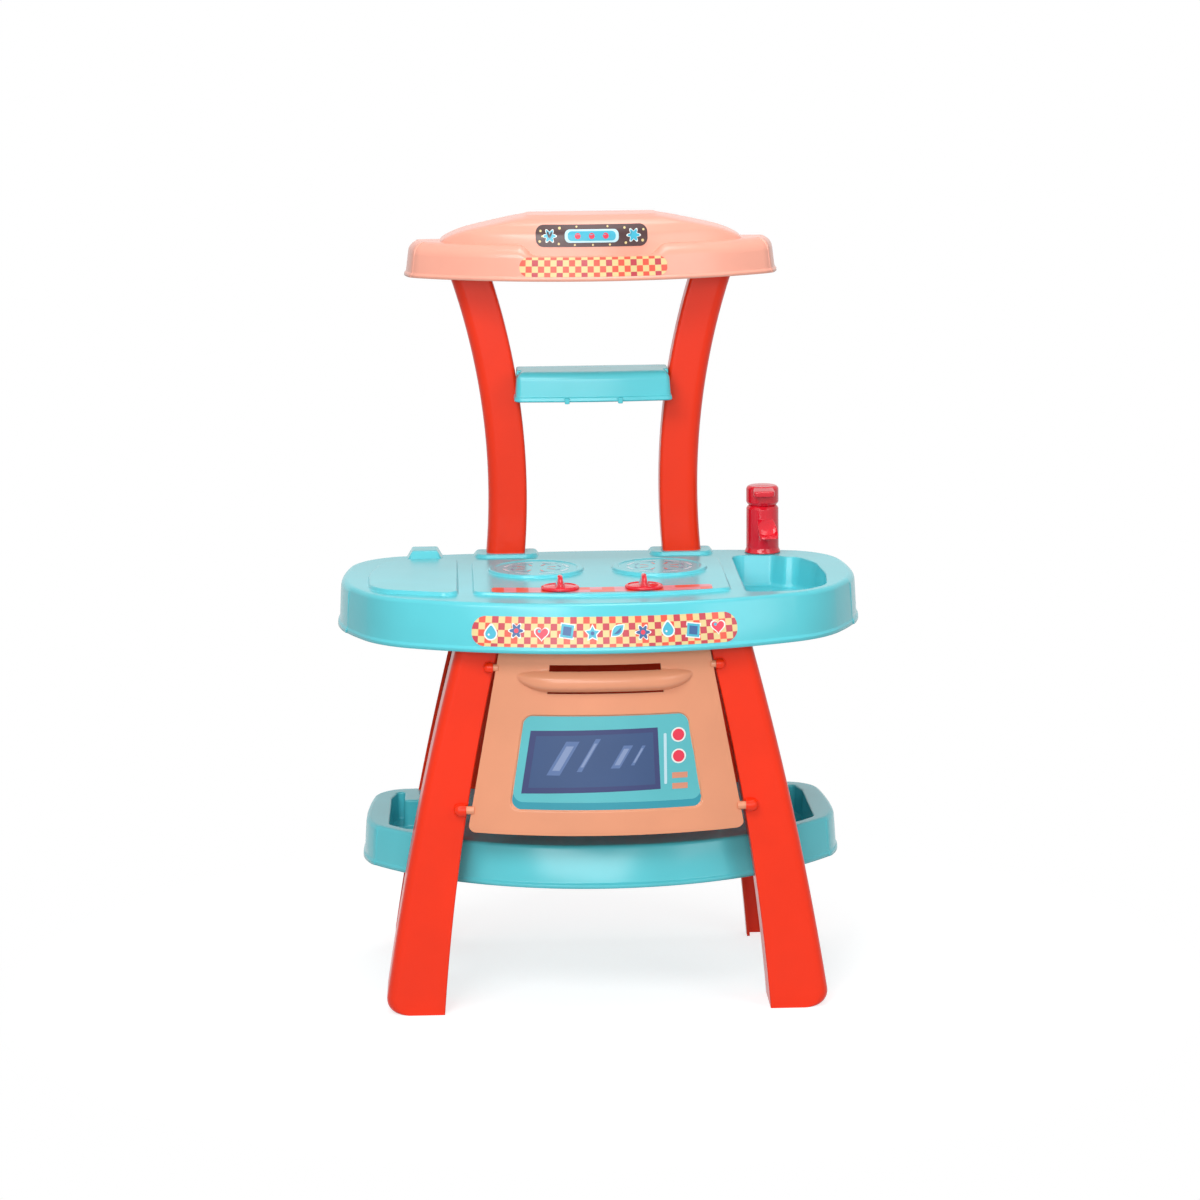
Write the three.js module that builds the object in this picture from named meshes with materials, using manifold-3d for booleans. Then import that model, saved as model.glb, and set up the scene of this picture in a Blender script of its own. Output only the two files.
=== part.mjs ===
// Toy kitchen: moulded countertop with stove and sink, hood on two bowed posts, oven with a
// drop-down door between splayed channel legs, and a storage tray below.
// Millimetres. X to the right, +Y to the back, +Z up. The origin is on the floor, under the centre.
import * as THREE from 'three';
import { mergeVertices } from 'three/addons/utils/BufferGeometryUtils.js';
import Module from 'manifold-3d';

const wasm = await Module();
wasm.setup();
const rad = THREE.MathUtils.degToRad;

// ---------------------------------------------------------------- driving dimensions
const WALL = 3;              // moulded wall
const FIT = 0.3;             // gap between pieces that touch
const MID_Y = 13;            // plane midway between the front and rear legs

// Countertop
const COUNTER_RIM = 366;     // height of the lower edge of the skirt
const COUNTER_DEPTH = 46;    // skirt height
const COUNTER_FRONT = -160.5;
const COUNTER_BOW = 420;     // radius of the bowed front
const COUNTER_SHOULDER = 105;
const COUNTER_CHEEK = 400;   // flatter stretch before the crease
const COUNTER_NECK = 30;     // tight bend just behind the crease
const COUNTER_END = 190;
const COUNTER_SIDE = 371.7;
const COUNTER_CORNER = 70;   // rear corner
const PANEL_RISE = 3;        // raised stove and worktop panels
const BURNER_RADIUS = 48;
const BURNER_RISE = 3;
const BURNER_X = 62;
const BURNER_Y = 28.5;
const BASIN_DEPTH = 31;
const BASIN_DRAFT = 6;
const COLLAR_RISE = 4;       // collars round the post sockets
const SOCKET_DEPTH = 10;     // depth of a post or leg socket, below the worktop
const SOCKET_GRIP = 22;      // height of the socket walls on a leg

// Lower tray
const TRAY_RIM = 126;
const TRAY_DEPTH = 40;
const TRAY_FRONT = -132;
const TRAY_BOW = 288.6;
const TRAY_SHOULDER = 26;
const TRAY_END = 110;
const TRAY_SIDE = 620;
const TRAY_CORNER = 38;      // rear corner
const POCKET_DEPTH = 28;

// Legs: splayed channels
const LEG_DEPTH = 57;        // front to back
const REAR_LEG_DEPTH = 18;
const REAR_LEG_INSET = 3;    // the rear legs stand this much closer together
const LEG_INNER_FOOT = 160.5;
const LEG_OUTER_FOOT = 220;
const LEG_FRONT_FOOT = -129.5;
const LEG_LEAN = 0.025;      // lean of the front face
const LEG_EDGE = 10;         // rounding of the outer edge
const FOOT_ROUND = 18;
const RIB = 2.5;

// Posts: bowed channels on concentric arcs
const POST_AXIS_X = 806;
const POST_RISE = 68;        // height of the narrowest waist above the worktop
const POST_INNER = 734.8;
const POST_OUTER = 701.3;
const POST_FRONT = 129.5;
const POST_DEPTH = 25;
const POST_EDGE = 9;

// Hood
const HOOD_ABOVE = 291;      // rim of the hood above the worktop
const BAND_HEIGHT = 35;
const HOOD_HEIGHT = 62.5;
const HOOD_FRONT = 46;
const HOOD_BOW = 300;
const HOOD_SHOULDER = 24;
const HOOD_END = 100;
const HOOD_CORNER = 16;      // rear corner
const DOME_HALF_FLAT = 54;
const DOME_HALF_BASE = 154;
const NOTCH_HALF = 62;       // panel for the badge, cut into the band
const NOTCH_DEPTH = 11;
const NOTCH_REACH = 120;     // how far back the notch is cut

// Shelf
const SHELF_ABOVE = 164;     // lower edge of the shelf above the worktop
const SHELF_HEIGHT = 30;
const SHELF_HALF = 80.3;
const SHELF_FRONT = 89.5;
const PEG_RADIUS = 3;        // pegs of the shelf, in holes of the posts

// Oven door and its pivot
const DOOR_BOTTOM = 185;
const DOOR_HEIGHT = 177;
const DOOR_PROUD = 5.2;      // of the door's side edges, in front of the legs
const DOOR_BOW = 360;
const DOOR_HALF = 131.3;     // half width at the pivot, if the taper went on down
const DOOR_TAPER = 0.185;
const DOOR_CORNER = 7;
const PIVOT_Z = 206.5;
const PIVOT_Y = -129;
const PIVOT_RADIUS = 4;
const BOSS_RADIUS = 6.5;
const BOSS_LENGTH = 13;
const CATCH_LENGTH = 9.5;
const PIN_REACH = 6;         // of the door's pins, into the leg's boss and catch
const CATCH_DROP = 15;       // of the catches, from the door's top edge
const CATCH_RADIUS = 3.5;
const HANDLE_BULGE = 11;
const HANDLE_HALF = 86;
const SLOT_HALF = 54;        // finger slot above the handle
const SLOT_DROP = 17;        // of the slot's lower edge, from the door's top edge
const SLOT_HEIGHT = 6;
const RECESS_DEPTH = 2;      // shallow seat of the oven label
const RECESS_TOP = 302;
const RECESS_BOTTOM = 209;
const RECESS_TOP_HALF = 79.5;
const RECESS_BOTTOM_HALF = 94.5;
const BACK_PANEL_Y = 133;
const BACK_PANEL_DEPTH = 12;

// Knobs and tap
const KNOB_X = 41;
const KNOB_Y = -80.5;
const KNOB_RADIUS = 18.7;
const KNOB_THICK = 3;
const FIN_HEIGHT = 10.5;
const FIN_WIDTH = 6.5;
const SHAFT_RADIUS = 4;
const TAP_X = 174.3;
const TAP_Y = 131.5;
const TAP_RADIUS = 16.7;
const TAP_STEM = 8;          // stem through the worktop
const TAP_HEIGHT = 49;       // body, up to the joint with the cap
const CAP_HEIGHT = 20;
const CAP_STEM = 5;
const LEVER_REACH = 29;
const LEVER_WIDTH = 22;
const SPOUT_REACH = 33;
const SPOUT_WIDTH = 19;
const SPOUT_TURN = 12;       // the spout points a little to the right

const COUNTER_TOP = COUNTER_RIM + COUNTER_DEPTH;
const TRAY_TOP = TRAY_RIM + TRAY_DEPTH;
const HOOD_RIM = COUNTER_TOP + HOOD_ABOVE;
const SHELF_BOTTOM = COUNTER_TOP + SHELF_ABOVE;
const DOOR_TOP = DOOR_BOTTOM + DOOR_HEIGHT;
const CATCH_Z = DOOR_TOP - CATCH_DROP;
const SLOT_LOW = DOOR_TOP - SLOT_DROP;

// ---------------------------------------------------------------- solids
function solid(geometry) {
  const bare = new THREE.BufferGeometry();
  bare.setAttribute('position', geometry.getAttribute('position').clone());
  if (geometry.index) bare.setIndex(geometry.index.clone());
  const merged = mergeVertices(bare, 1e-3);
  return new wasm.Manifold(new wasm.Mesh({
    numProp: 3,
    vertProperties: new Float32Array(merged.getAttribute('position').array),
    triVerts: new Uint32Array(merged.index.array),
  }));
}

function geometryOf(body) {
  const data = body.getMesh();
  const geometry = new THREE.BufferGeometry();
  geometry.setAttribute('position', new THREE.BufferAttribute(new Float32Array(data.vertProperties), 3));
  geometry.setIndex(new THREE.BufferAttribute(new Uint32Array(data.triVerts), 1));
  return geometry;
}

const join = (...bodies) => bodies.reduce((all, body) => all.add(body));
const cut = (body, ...tools) => tools.reduce((rest, tool) => rest.subtract(tool), body);

/** Solid through closed rings of equal count, each anticlockwise from above and higher than the last. */
function loft(rings) {
  const count = rings[0].length;
  const positions = rings.flat().flatMap((p) => [p.x, p.y, p.z]);
  const index = [];
  const flat = (ring) => ring.map((p) => new THREE.Vector2(p.x, p.y));
  const capOf = (ring) => THREE.ShapeUtils.triangulateShape(flat(ring), []);
  for (const [a, b, c] of capOf(rings[0])) index.push(a, c, b);
  for (let level = 0; level + 1 < rings.length; level += 1) {
    const low = level * count;
    const high = low + count;
    for (let i = 0; i < count; i += 1) {
      const j = (i + 1) % count;
      index.push(low + i, low + j, high + j, low + i, high + j, high + i);
    }
  }
  const top = (rings.length - 1) * count;
  for (const [a, b, c] of capOf(rings[rings.length - 1])) index.push(top + a, top + b, top + c);
  const geometry = new THREE.BufferGeometry();
  geometry.setAttribute('position', new THREE.Float32BufferAttribute(positions, 3));
  geometry.setIndex(index);
  return solid(geometry);
}

/**
 * Copy of a body moved by shiftX, then mirrored in X and in Y as asked; flipY mirrors in the plane midway
 * between the legs.
 */
function mirrored(body, flipX, flipY, shiftX = 0) {
  const geometry = geometryOf(body);
  geometry.translate(shiftX, 0, 0);
  if (flipY) geometry.translate(0, -MID_Y, 0);
  geometry.scale(flipX ? -1 : 1, flipY ? -1 : 1, 1);
  if (flipY) geometry.translate(0, MID_Y, 0);
  if (flipX !== flipY) {
    const index = geometry.index.array;
    for (let i = 0; i < index.length; i += 3) [index[i], index[i + 1]] = [index[i + 1], index[i]];
  }
  return solid(geometry);
}

/** Closed ring round a polygon of [x, y, radius] corners, anticlockwise, moved inwards by inset. */
function filletedRing(corners, z, inset = 0, steps = 3) {
  const count = corners.length;
  const at = (i) => new THREE.Vector2(corners[(i + count) % count][0], corners[(i + count) % count][1]);
  const ring = [];
  corners.forEach(([x, y, radius], i) => {
    const into = at(i).sub(at(i - 1)).normalize();
    const out = at(i + 1).sub(at(i)).normalize();
    const normalIn = new THREE.Vector2(-into.y, into.x);
    const normalOut = new THREE.Vector2(-out.y, out.x);
    const mitre = normalIn.clone().add(normalOut).multiplyScalar(inset / (1 + normalIn.dot(normalOut)));
    const corner = new THREE.Vector2(x, y).add(mitre);
    if (radius === 0) {
      ring.push(new THREE.Vector3(corner.x, corner.y, z));
      return;
    }
    const turn = Math.atan2(into.cross(out), into.dot(out));
    const side = Math.sign(turn);
    const r = Math.max(radius - side * inset, 0.4);
    const start = corner.clone().addScaledVector(into, -r * Math.tan(Math.abs(turn) / 2));
    const centre = start.clone().addScaledVector(normalIn, side * r);
    const spoke = start.clone().sub(centre);
    for (let k = 0; k <= steps; k += 1) {
      const p = spoke.clone().rotateAround(new THREE.Vector2(), (turn * k) / steps).add(centre);
      ring.push(new THREE.Vector3(p.x, p.y, z));
    }
  });
  return ring;
}

/** Raised or sunk form: rings of one filleted outline at [z, inset] levels. */
function stack(corners, levels, steps) {
  return loft(levels.map(([z, inset]) => filletedRing(corners, z, inset, steps)));
}

/** Prism of an outline in X and Z, anticlockwise from the front, from y0 back to y1. */
function prismY(corners, y0, y1, inset = 0, steps = 3) {
  const geometry = geometryOf(loft([-y1, -y0].map((level) => filletedRing(corners, level, inset, steps))));
  geometry.rotateX(Math.PI / 2);
  return solid(geometry);
}

/** Half outline of tangent arcs, from the front centre turning left; the last arc closes at the back. */
function arcChain(startY, arcs) {
  const points = [{ x: 0, y: startY, heading: 0 }];
  const walk = (radius, turn) => {
    const from = points[points.length - 1];
    const steps = Math.max(Math.ceil(turn / rad(11)), Math.ceil((radius * turn) / 54));
    for (let k = 1; k <= steps; k += 1) {
      const heading = from.heading + (turn * k) / steps;
      points.push({
        x: from.x + radius * (Math.sin(heading) - Math.sin(from.heading)),
        y: from.y + radius * (Math.cos(from.heading) - Math.cos(heading)),
        heading,
      });
    }
  };
  for (const [radius, degrees] of arcs) walk(radius, rad(degrees));
  const last = points[points.length - 1];
  const rest = Math.PI - last.heading;
  walk(last.x / Math.sin(rest), rest);
  points[points.length - 1].x = 0;
  return points;
}

/** Full ring of a half outline at height z, each point moved inwards by insetOf(heading). */
function outlineRing(half, z, insetOf) {
  const right = half.map((p) => {
    const inset = insetOf(p.heading);
    return new THREE.Vector3(p.x - Math.sin(p.heading) * inset, p.y + Math.cos(p.heading) * inset, z);
  });
  const left = right.slice(1, -1).reverse().map((p) => new THREE.Vector3(-p.x, p.y, p.z));
  return [...right, ...left];
}

/**
 * Skirted body from levels of [height, centre, corner, end, back] insets. The front blends from centre
 * to corner up to the crease; behind the crease the end blends to the back.
 */
function skirted(half, creaseDegrees, rimZ, profile, more = 0) {
  const { lerp, smoothstep } = THREE.MathUtils;
  const crease = rad(creaseDegrees) + 1e-6;
  return loft(profile.map(([height, centre, corner, end, back]) => {
    const insetOf = (heading) => (heading <= crease
      ? lerp(centre, corner, heading / crease)
      : lerp(end, back, smoothstep(heading, rad(115), rad(165))));
    return outlineRing(half, rimZ + height, (heading) => insetOf(heading) + more);
  }));
}

/** The hollow under a skirted body: a plainer profile, a wall in from the skirt and a wall below the top. */
function hollow(half, creaseDegrees, rimZ, profile) {
  const top = profile[profile.length - 1][0];
  const plain = profile.filter((level, i) => i === 0 || i === 3 || i >= profile.length - 3);
  const inner = plain.map(([height, ...insets]) => [(height * (top - WALL)) / top, ...insets]);
  inner[0][0] = -1;
  return skirted(half, creaseDegrees, rimZ, inner, WALL);
}

/** Grid panel: rows of z across half widths, front and back surfaces as functions of x and z. */
function panel(rows, columns, halfWidth, front, back) {
  const positions = [];
  const index = [];
  const wide = columns.length;
  const sheet = rows.length * wide;
  for (const surface of [front, back]) {
    for (const z of rows) {
      for (const u of columns) {
        const x = u * halfWidth(z);
        positions.push(x, surface(x, z), z);
      }
    }
  }
  const quad = (a, b, c, d) => index.push(a, b, c, a, c, d);
  for (let r = 0; r + 1 < rows.length; r += 1) {
    for (let c = 0; c + 1 < wide; c += 1) {
      const a = r * wide + c;
      quad(a, a + 1, a + 1 + wide, a + wide);
      quad(sheet + a, sheet + a + wide, sheet + a + 1 + wide, sheet + a + 1);
    }
    const left = r * wide;
    const right = left + wide - 1;
    quad(left, left + wide, sheet + left + wide, sheet + left);
    quad(right, sheet + right, sheet + right + wide, right + wide);
  }
  for (let c = 0; c + 1 < wide; c += 1) {
    const top = (rows.length - 1) * wide + c;
    quad(c, sheet + c, sheet + c + 1, c + 1);
    quad(top, top + 1, sheet + top + 1, sheet + top);
  }
  const geometry = new THREE.BufferGeometry();
  geometry.setAttribute('position', new THREE.Float32BufferAttribute(positions, 3));
  geometry.setIndex(index);
  return solid(geometry);
}

/** Solid of revolution about a vertical axis from [radius, z] points that start and end on the axis. */
function revolve(profile, x, y, segments = 32) {
  const geometry = new THREE.LatheGeometry(profile.map(([r, z]) => new THREE.Vector2(r, z)), segments);
  geometry.rotateX(Math.PI / 2);
  geometry.translate(x, y, 0);
  return solid(geometry);
}

/** Rod along X with a domed end at x1. */
function rodX(x0, x1, y, z, radius, dome = 0, segments = 16) {
  const points = [[0, x0], [radius, x0], [radius, x1 - dome]].map(([r, x]) => new THREE.Vector2(r, x));
  for (let k = 1; k < 4 && dome > 0; k += 1) {
    const turn = (k * Math.PI) / 8;
    points.push(new THREE.Vector2(radius * Math.cos(turn), x1 - dome + dome * Math.sin(turn)));
  }
  points.push(new THREE.Vector2(0, x1));
  const geometry = new THREE.LatheGeometry(points, segments);
  geometry.rotateZ(-Math.PI / 2);
  geometry.translate(0, y, z);
  return solid(geometry);
}

function box(x0, x1, y0, y1, z0, z1) {
  return stack([[x0, y0, 0], [x1, y0, 0], [x1, y1, 0], [x0, y1, 0]], [[z0, 0], [z1, 0]]);
}

// ---------------------------------------------------------------- legs and posts
const legInner = (z) => LEG_INNER_FOOT - 0.077 * z - 2.24e-4 * z * z;
const legOuter = (z) => LEG_OUTER_FOOT - 0.15 * z - 1.6e-4 * z * z;
const legFront = (z) => LEG_FRONT_FOOT + LEG_LEAN * z;
const LEG_TOP = COUNTER_TOP - SOCKET_DEPTH - WALL - FIT;

/** Outer face at height z with the foot rounded: radius is that of the rounding at this surface. */
function roundedOuter(z, radius) {
  const depth = Math.max(FOOT_ROUND - z, 0);
  return legOuter(z) - FOOT_ROUND + Math.sqrt(Math.max(radius * radius - depth * depth, 0));
}

/** Right front leg as a filled form of the given depth; more grows it outwards all round. */
function legForm(depth, more, z0, z1) {
  const bend = [0, 0.2, 0.45, 0.72, 1].map((t) => FOOT_ROUND * (1 - Math.cos((t * Math.PI) / 2)));
  const straight = [...Array(5).keys()].map((k) => FOOT_ROUND + ((LEG_TOP - FOOT_ROUND) * (k + 1)) / 5);
  const between = [...bend, ...straight].filter((z) => z > z0 + 1 && z < z1 - 1);
  return loft([z0, ...between, z1].map((z) => filletedRing([
    [legInner(z), legFront(z) + depth, 0],
    [legInner(z), legFront(z), 1.5],
    [roundedOuter(z, FOOT_ROUND), legFront(z), LEG_EDGE],
    [roundedOuter(z, FOOT_ROUND), legFront(z) + depth, 0],
  ], z, -more)));
}

/** Hollow of the right front leg, open at the back and both ends; less makes its walls thicker. */
function legHollow(depth, less) {
  const wall = WALL + less;
  const inside = FOOT_ROUND - wall;
  const bend = [0, 0.25, 0.5, 0.75, 1].map((t) => FOOT_ROUND - inside * Math.cos((t * Math.PI) / 2));
  const straight = [...Array(5).keys()].map((k) => FOOT_ROUND + ((LEG_TOP + 1 - FOOT_ROUND) * (k + 1)) / 5);
  return loft([-1, ...bend, ...straight].map((z) => filletedRing([
    [legInner(z) + wall, legFront(z) + depth + 1, 0],
    [legInner(z) + wall, legFront(z) + wall, 0.5],
    [roundedOuter(z, inside), legFront(z) + wall, LEG_EDGE - WALL],
    [roundedOuter(z, inside), legFront(z) + depth + 1, 0],
  ], z)));
}

const TRAY_REST = TRAY_RIM - FIT;
const LEG_RIBS = [TRAY_REST, 220, 305];  // upper faces; the tray rests on the lowest

/** Leg without fittings: an open channel with cross ribs. */
function channelLeg(depth) {
  const channel = cut(legForm(depth, 0, 0, LEG_TOP), legHollow(depth, 0));
  const ribs = LEG_RIBS.map((z) => {
    const slab = box(legInner(z), legOuter(z), legFront(z) + 1, legFront(z) + depth - 2, z - RIB, z);
    return slab.intersect(legForm(depth, -1, 0, LEG_TOP));
  });
  return join(channel, ...ribs);
}

/** On a front leg: the boss with a bore for the door's pivot, and the open catch for its upper pin. */
const bossX = legInner(PIVOT_Z) + 1.5;
const catchX = legInner(CATCH_Z) + 1.5;
const catchY = legFront(CATCH_Z) - CATCH_RADIUS - FIT - 0.4;
function hingeFittings() {
  const gap = CATCH_RADIUS + FIT;
  return {
    add: [
      rodX(bossX, bossX + BOSS_LENGTH, PIVOT_Y, PIVOT_Z, BOSS_RADIUS, 4, 20),
      rodX(catchX, catchX + CATCH_LENGTH, catchY, CATCH_Z, CATCH_RADIUS + 2.2, 3, 20),
    ],
    remove: [
      rodX(bossX - 1, bossX + PIN_REACH + FIT, PIVOT_Y, PIVOT_Z, PIVOT_RADIUS + FIT),
      rodX(catchX - 1, catchX + PIN_REACH + FIT, catchY, CATCH_Z, gap),
      box(catchX - 1, catchX + PIN_REACH + FIT, catchY - 9, catchY, CATCH_Z - gap, CATCH_Z + gap),
    ],
  };
}

const fittings = hingeFittings();
const frontLeg = cut(join(channelLeg(LEG_DEPTH), ...fittings.add), ...fittings.remove);
const rearLeg = channelLeg(REAR_LEG_DEPTH);
const legSlot = (depth) => cut(legForm(depth, FIT, -1, LEG_TOP + FIT), legHollow(depth, FIT));

const postCentreZ = COUNTER_TOP + POST_RISE;
const postEdge = (radius, z) => POST_AXIS_X - Math.sqrt(radius * radius - (z - postCentreZ) ** 2);
const POST_BOTTOM = COUNTER_TOP - SOCKET_DEPTH + FIT;
const POST_TOP = HOOD_RIM + BAND_HEIGHT - WALL - 4 - FIT;

/** Section of the right post at height z, grown by more; hollow gives the inside of the channel. */
function postRing(z, more, isHollow) {
  const wall = isHollow ? WALL : 0;
  const back = POST_FRONT + POST_DEPTH + (isHollow ? 1 : 0);
  return filletedRing([
    [postEdge(POST_INNER, z) + wall, back, 0],
    [postEdge(POST_INNER, z) + wall, POST_FRONT + wall, isHollow ? 0.5 : 1],
    [postEdge(POST_OUTER, z) - wall, POST_FRONT + wall, POST_EDGE - wall],
    [postEdge(POST_OUTER, z) - wall, back, 0],
  ], z, -more);
}

function postForm(z0, z1, more = 0, isHollow = false) {
  const steps = Math.max(1, Math.round((z1 - z0) / 33));
  const levels = [...Array(steps + 1).keys()].map((k) => z0 + ((z1 - z0) * k) / steps);
  return loft(levels.map((z) => postRing(z, more, isHollow)));
}

const PEG_Y = POST_FRONT + 13;
const PEG_Z = SHELF_BOTTOM + 13;
const pegFace = postEdge(POST_INNER, PEG_Z);
const post = cut(
  postForm(POST_BOTTOM, POST_TOP),
  postForm(POST_BOTTOM - 1, POST_TOP + 1, 0, true),
  rodX(pegFace - 3, pegFace + WALL + 2, PEG_Y, PEG_Z, PEG_RADIUS + FIT),
);

// ---------------------------------------------------------------- countertop
const COUNTER_CREASE = 69;
const counterHalf = arcChain(COUNTER_FRONT, [
  [COUNTER_BOW, 26.3], [COUNTER_SHOULDER, 36.7], [COUNTER_CHEEK, COUNTER_CREASE - 63], [COUNTER_NECK, 4],
  [COUNTER_END, 17], [COUNTER_SIDE, 10], [COUNTER_CORNER, 72],
]);
const counterProfile = [
  [0, -1.5, -1.5, -2.5, -1.5],
  [3.2, -1.3, -1.3, -2.2, -1.3],
  [5.8, 1.2, 0, -0.3, 0.8],
  [16, 4, 0.8, 0.6, 1.5],
  [COUNTER_DEPTH - 16, 9, 2, 1.2, 3],
  [COUNTER_DEPTH - 8, 13, 3.5, 3.8, 4],
  [COUNTER_DEPTH - 4, 15, 7.5, 8.5, 5],
  [COUNTER_DEPTH - 1.4, 17, 13, 14, 7.5],
  [COUNTER_DEPTH, 21, 22, 22, 12],
];
const stoveCorners = [[0, -128, 375], [126, -87, 12], [126, 94, 13], [-126, 94, 13], [-126, -87, 12]];
const worktopCorners = [[-141, -96, 12], [-141, 104, 12], [-216, 104, 34], [-230, 20, 120], [-228, -64, 44]];
const basinCorners = [
  [140, -98, 10], [208, -94, 26], [232, -40, 40], [222, 104, 14], [199, 96, 6], [182, 112, 14],
  [140, 112, 14],
];
function rounded(top, edge) {
  return [[COUNTER_TOP - 1, 0], [top - edge, 0], [top - edge / 3, edge / 3], [top, edge]];
}

function basinLevels(more) {
  const floor = COUNTER_TOP - BASIN_DEPTH;
  const out = more > 0 ? COUNTER_TOP - 1 : COUNTER_TOP + 8;
  return [
    [floor - more, BASIN_DRAFT + 4 - more],
    [floor + 1.2, BASIN_DRAFT + 1.5 - more],
    [floor + 5, BASIN_DRAFT - 0.5 - more],
    [COUNTER_TOP - 2, 1 - more],
    [out, more > 0 ? -more : -1],
  ];
}

/** Walls under the worktop that grip the top of a leg at the right front, with two ribs that stop it. */
function legSocket(depth) {
  const grip = legForm(depth, FIT + RIB, LEG_TOP - SOCKET_GRIP, COUNTER_TOP - 1);
  const ribs = [0.3, 0.7].map((t) => {
    const y = legFront(LEG_TOP) + depth * t;
    return box(legInner(LEG_TOP), legOuter(LEG_TOP), y, y + RIB, LEG_TOP + FIT, COUNTER_TOP - 1);
  });
  const core = legForm(depth, FIT, LEG_TOP - SOCKET_GRIP - 1, COUNTER_TOP - WALL);
  return join(cut(grip, core), ...ribs);
}

function countertop() {
  const outer = skirted(counterHalf, COUNTER_CREASE, COUNTER_RIM, counterProfile);
  const shell = cut(outer, hollow(counterHalf, COUNTER_CREASE, COUNTER_RIM, counterProfile));
  const frontSocket = legSocket(LEG_DEPTH);
  const rearSocket = mirrored(legSocket(REAR_LEG_DEPTH), false, true, -REAR_LEG_INSET);
  const panelTop = COUNTER_TOP + PANEL_RISE;
  const burner = revolve([
    [0, COUNTER_TOP], [BURNER_RADIUS, COUNTER_TOP], [BURNER_RADIUS, panelTop + BURNER_RISE - 1.5],
    [BURNER_RADIUS - 2, panelTop + BURNER_RISE], [0, panelTop + BURNER_RISE],
  ], BURNER_X, BURNER_Y, 32);
  const collar = stack([[58, 119, 5], [122, 119, 5], [122, 158, 5], [58, 158, 5]], [
    [COUNTER_TOP - 8, -1], [COUNTER_TOP + COLLAR_RISE - 1.5, 0], [COUNTER_TOP + COLLAR_RISE, 1.5],
  ]);
  const postFloor = postForm(COUNTER_TOP - SOCKET_DEPTH - WALL, COUNTER_TOP - 1, FIT + WALL);
  const lug = stack([[-191, 109, 4], [-157, 109, 4], [-157, 145, 4], [-191, 145, 4]], [
    [COUNTER_TOP - 2, 0], [COUNTER_TOP + 8.5, 4], [COUNTER_TOP + 10, 6],
  ]);
  const tapSeat = revolve([
    [0, COUNTER_TOP - 9], [TAP_RADIUS + 2, COUNTER_TOP - 9], [TAP_RADIUS + 2, COUNTER_TOP], [0, COUNTER_TOP],
  ], TAP_X, TAP_Y, 32);
  const tapHole = revolve([
    [0, COUNTER_TOP - 12], [TAP_STEM + FIT, COUNTER_TOP - 12], [TAP_STEM + FIT, COUNTER_TOP + 1],
    [0, COUNTER_TOP + 1],
  ], TAP_X, TAP_Y, 24);
  const knobHole = revolve([
    [0, COUNTER_TOP - WALL - 1], [SHAFT_RADIUS + FIT, COUNTER_TOP - WALL - 1],
    [SHAFT_RADIUS + FIT, panelTop + 1], [0, panelTop + 1],
  ], KNOB_X, KNOB_Y, 24);
  const bothSides = (body) => [body, mirrored(body, true, false)];
  const solids = join(
    shell,
    ...bothSides(frontSocket.intersect(outer)),
    ...bothSides(rearSocket.intersect(outer)),
    stack(stoveCorners, rounded(panelTop, 2), 5),
    stack(worktopCorners, rounded(panelTop + 0.5, 2), 4),
    ...bothSides(burner),
    ...bothSides(collar),
    ...bothSides(postFloor),
    lug,
    tapSeat,
    stack(basinCorners, basinLevels(WALL), 4),
  );
  return cut(
    solids,
    stack(basinCorners, basinLevels(0), 4),
    ...bothSides(postForm(COUNTER_TOP - SOCKET_DEPTH, COUNTER_TOP + COLLAR_RISE + 1, FIT)),
    ...bothSides(knobHole),
    tapHole,
  );
}

// ---------------------------------------------------------------- lower tray
const TRAY_CREASE = 52;
const trayHalf = arcChain(TRAY_FRONT, [
  [TRAY_BOW, TRAY_CREASE], [TRAY_SHOULDER, 16], [TRAY_END, 22], [TRAY_SIDE, 8], [TRAY_CORNER, 79],
]);
const trayProfile = [
  [0, -1.5, -1.5, -2.2, -1.5],
  [3, -1.3, -1.3, -1.9, -1.3],
  [5.6, 1.2, 0, -0.3, 0.8],
  [14, 3, 0.8, 0.5, 1.5],
  [TRAY_DEPTH - 12, 8, 2, 1.2, 2.5],
  [TRAY_DEPTH - 4, 12, 4, 4.5, 3.5],
  [TRAY_DEPTH - 1.2, 13.5, 6, 8, 5.5],
  [TRAY_DEPTH, 16, 10, 12, 9],
];
const pocketCorners = [
  [150, -56, 8], [196, -34, 12], [214, -14, 14], [213, 100, 12], [207, 124, 4], [199, 124, 4], [199, 88, 4],
  [150, 88, 8],
];

function pocketLevels(more) {
  const floor = TRAY_TOP - POCKET_DEPTH;
  return [
    [floor - more, 4 - more],
    [floor + 3, 2 - more],
    [TRAY_TOP - 2, 0.5 - more],
    [TRAY_TOP + (more > 0 ? -1 : 5), more > 0 ? -more : -1],
  ];
}

function lowerTray() {
  const outer = skirted(trayHalf, TRAY_CREASE, TRAY_RIM, trayProfile);
  const shell = cut(outer, hollow(trayHalf, TRAY_CREASE, TRAY_RIM, trayProfile));
  const walls = stack(pocketCorners, pocketLevels(WALL - 0.5), 4);
  const pocket = stack(pocketCorners, pocketLevels(0), 4);
  const slot = legSlot(LEG_DEPTH);
  const rearSlot = mirrored(legSlot(REAR_LEG_DEPTH), false, true, -REAR_LEG_INSET);
  return cut(
    join(shell, walls, mirrored(walls, true, false)),
    pocket,
    mirrored(pocket, true, false),
    slot,
    mirrored(slot, true, false),
    rearSlot,
    mirrored(rearSlot, true, false),
  );
}

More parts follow.
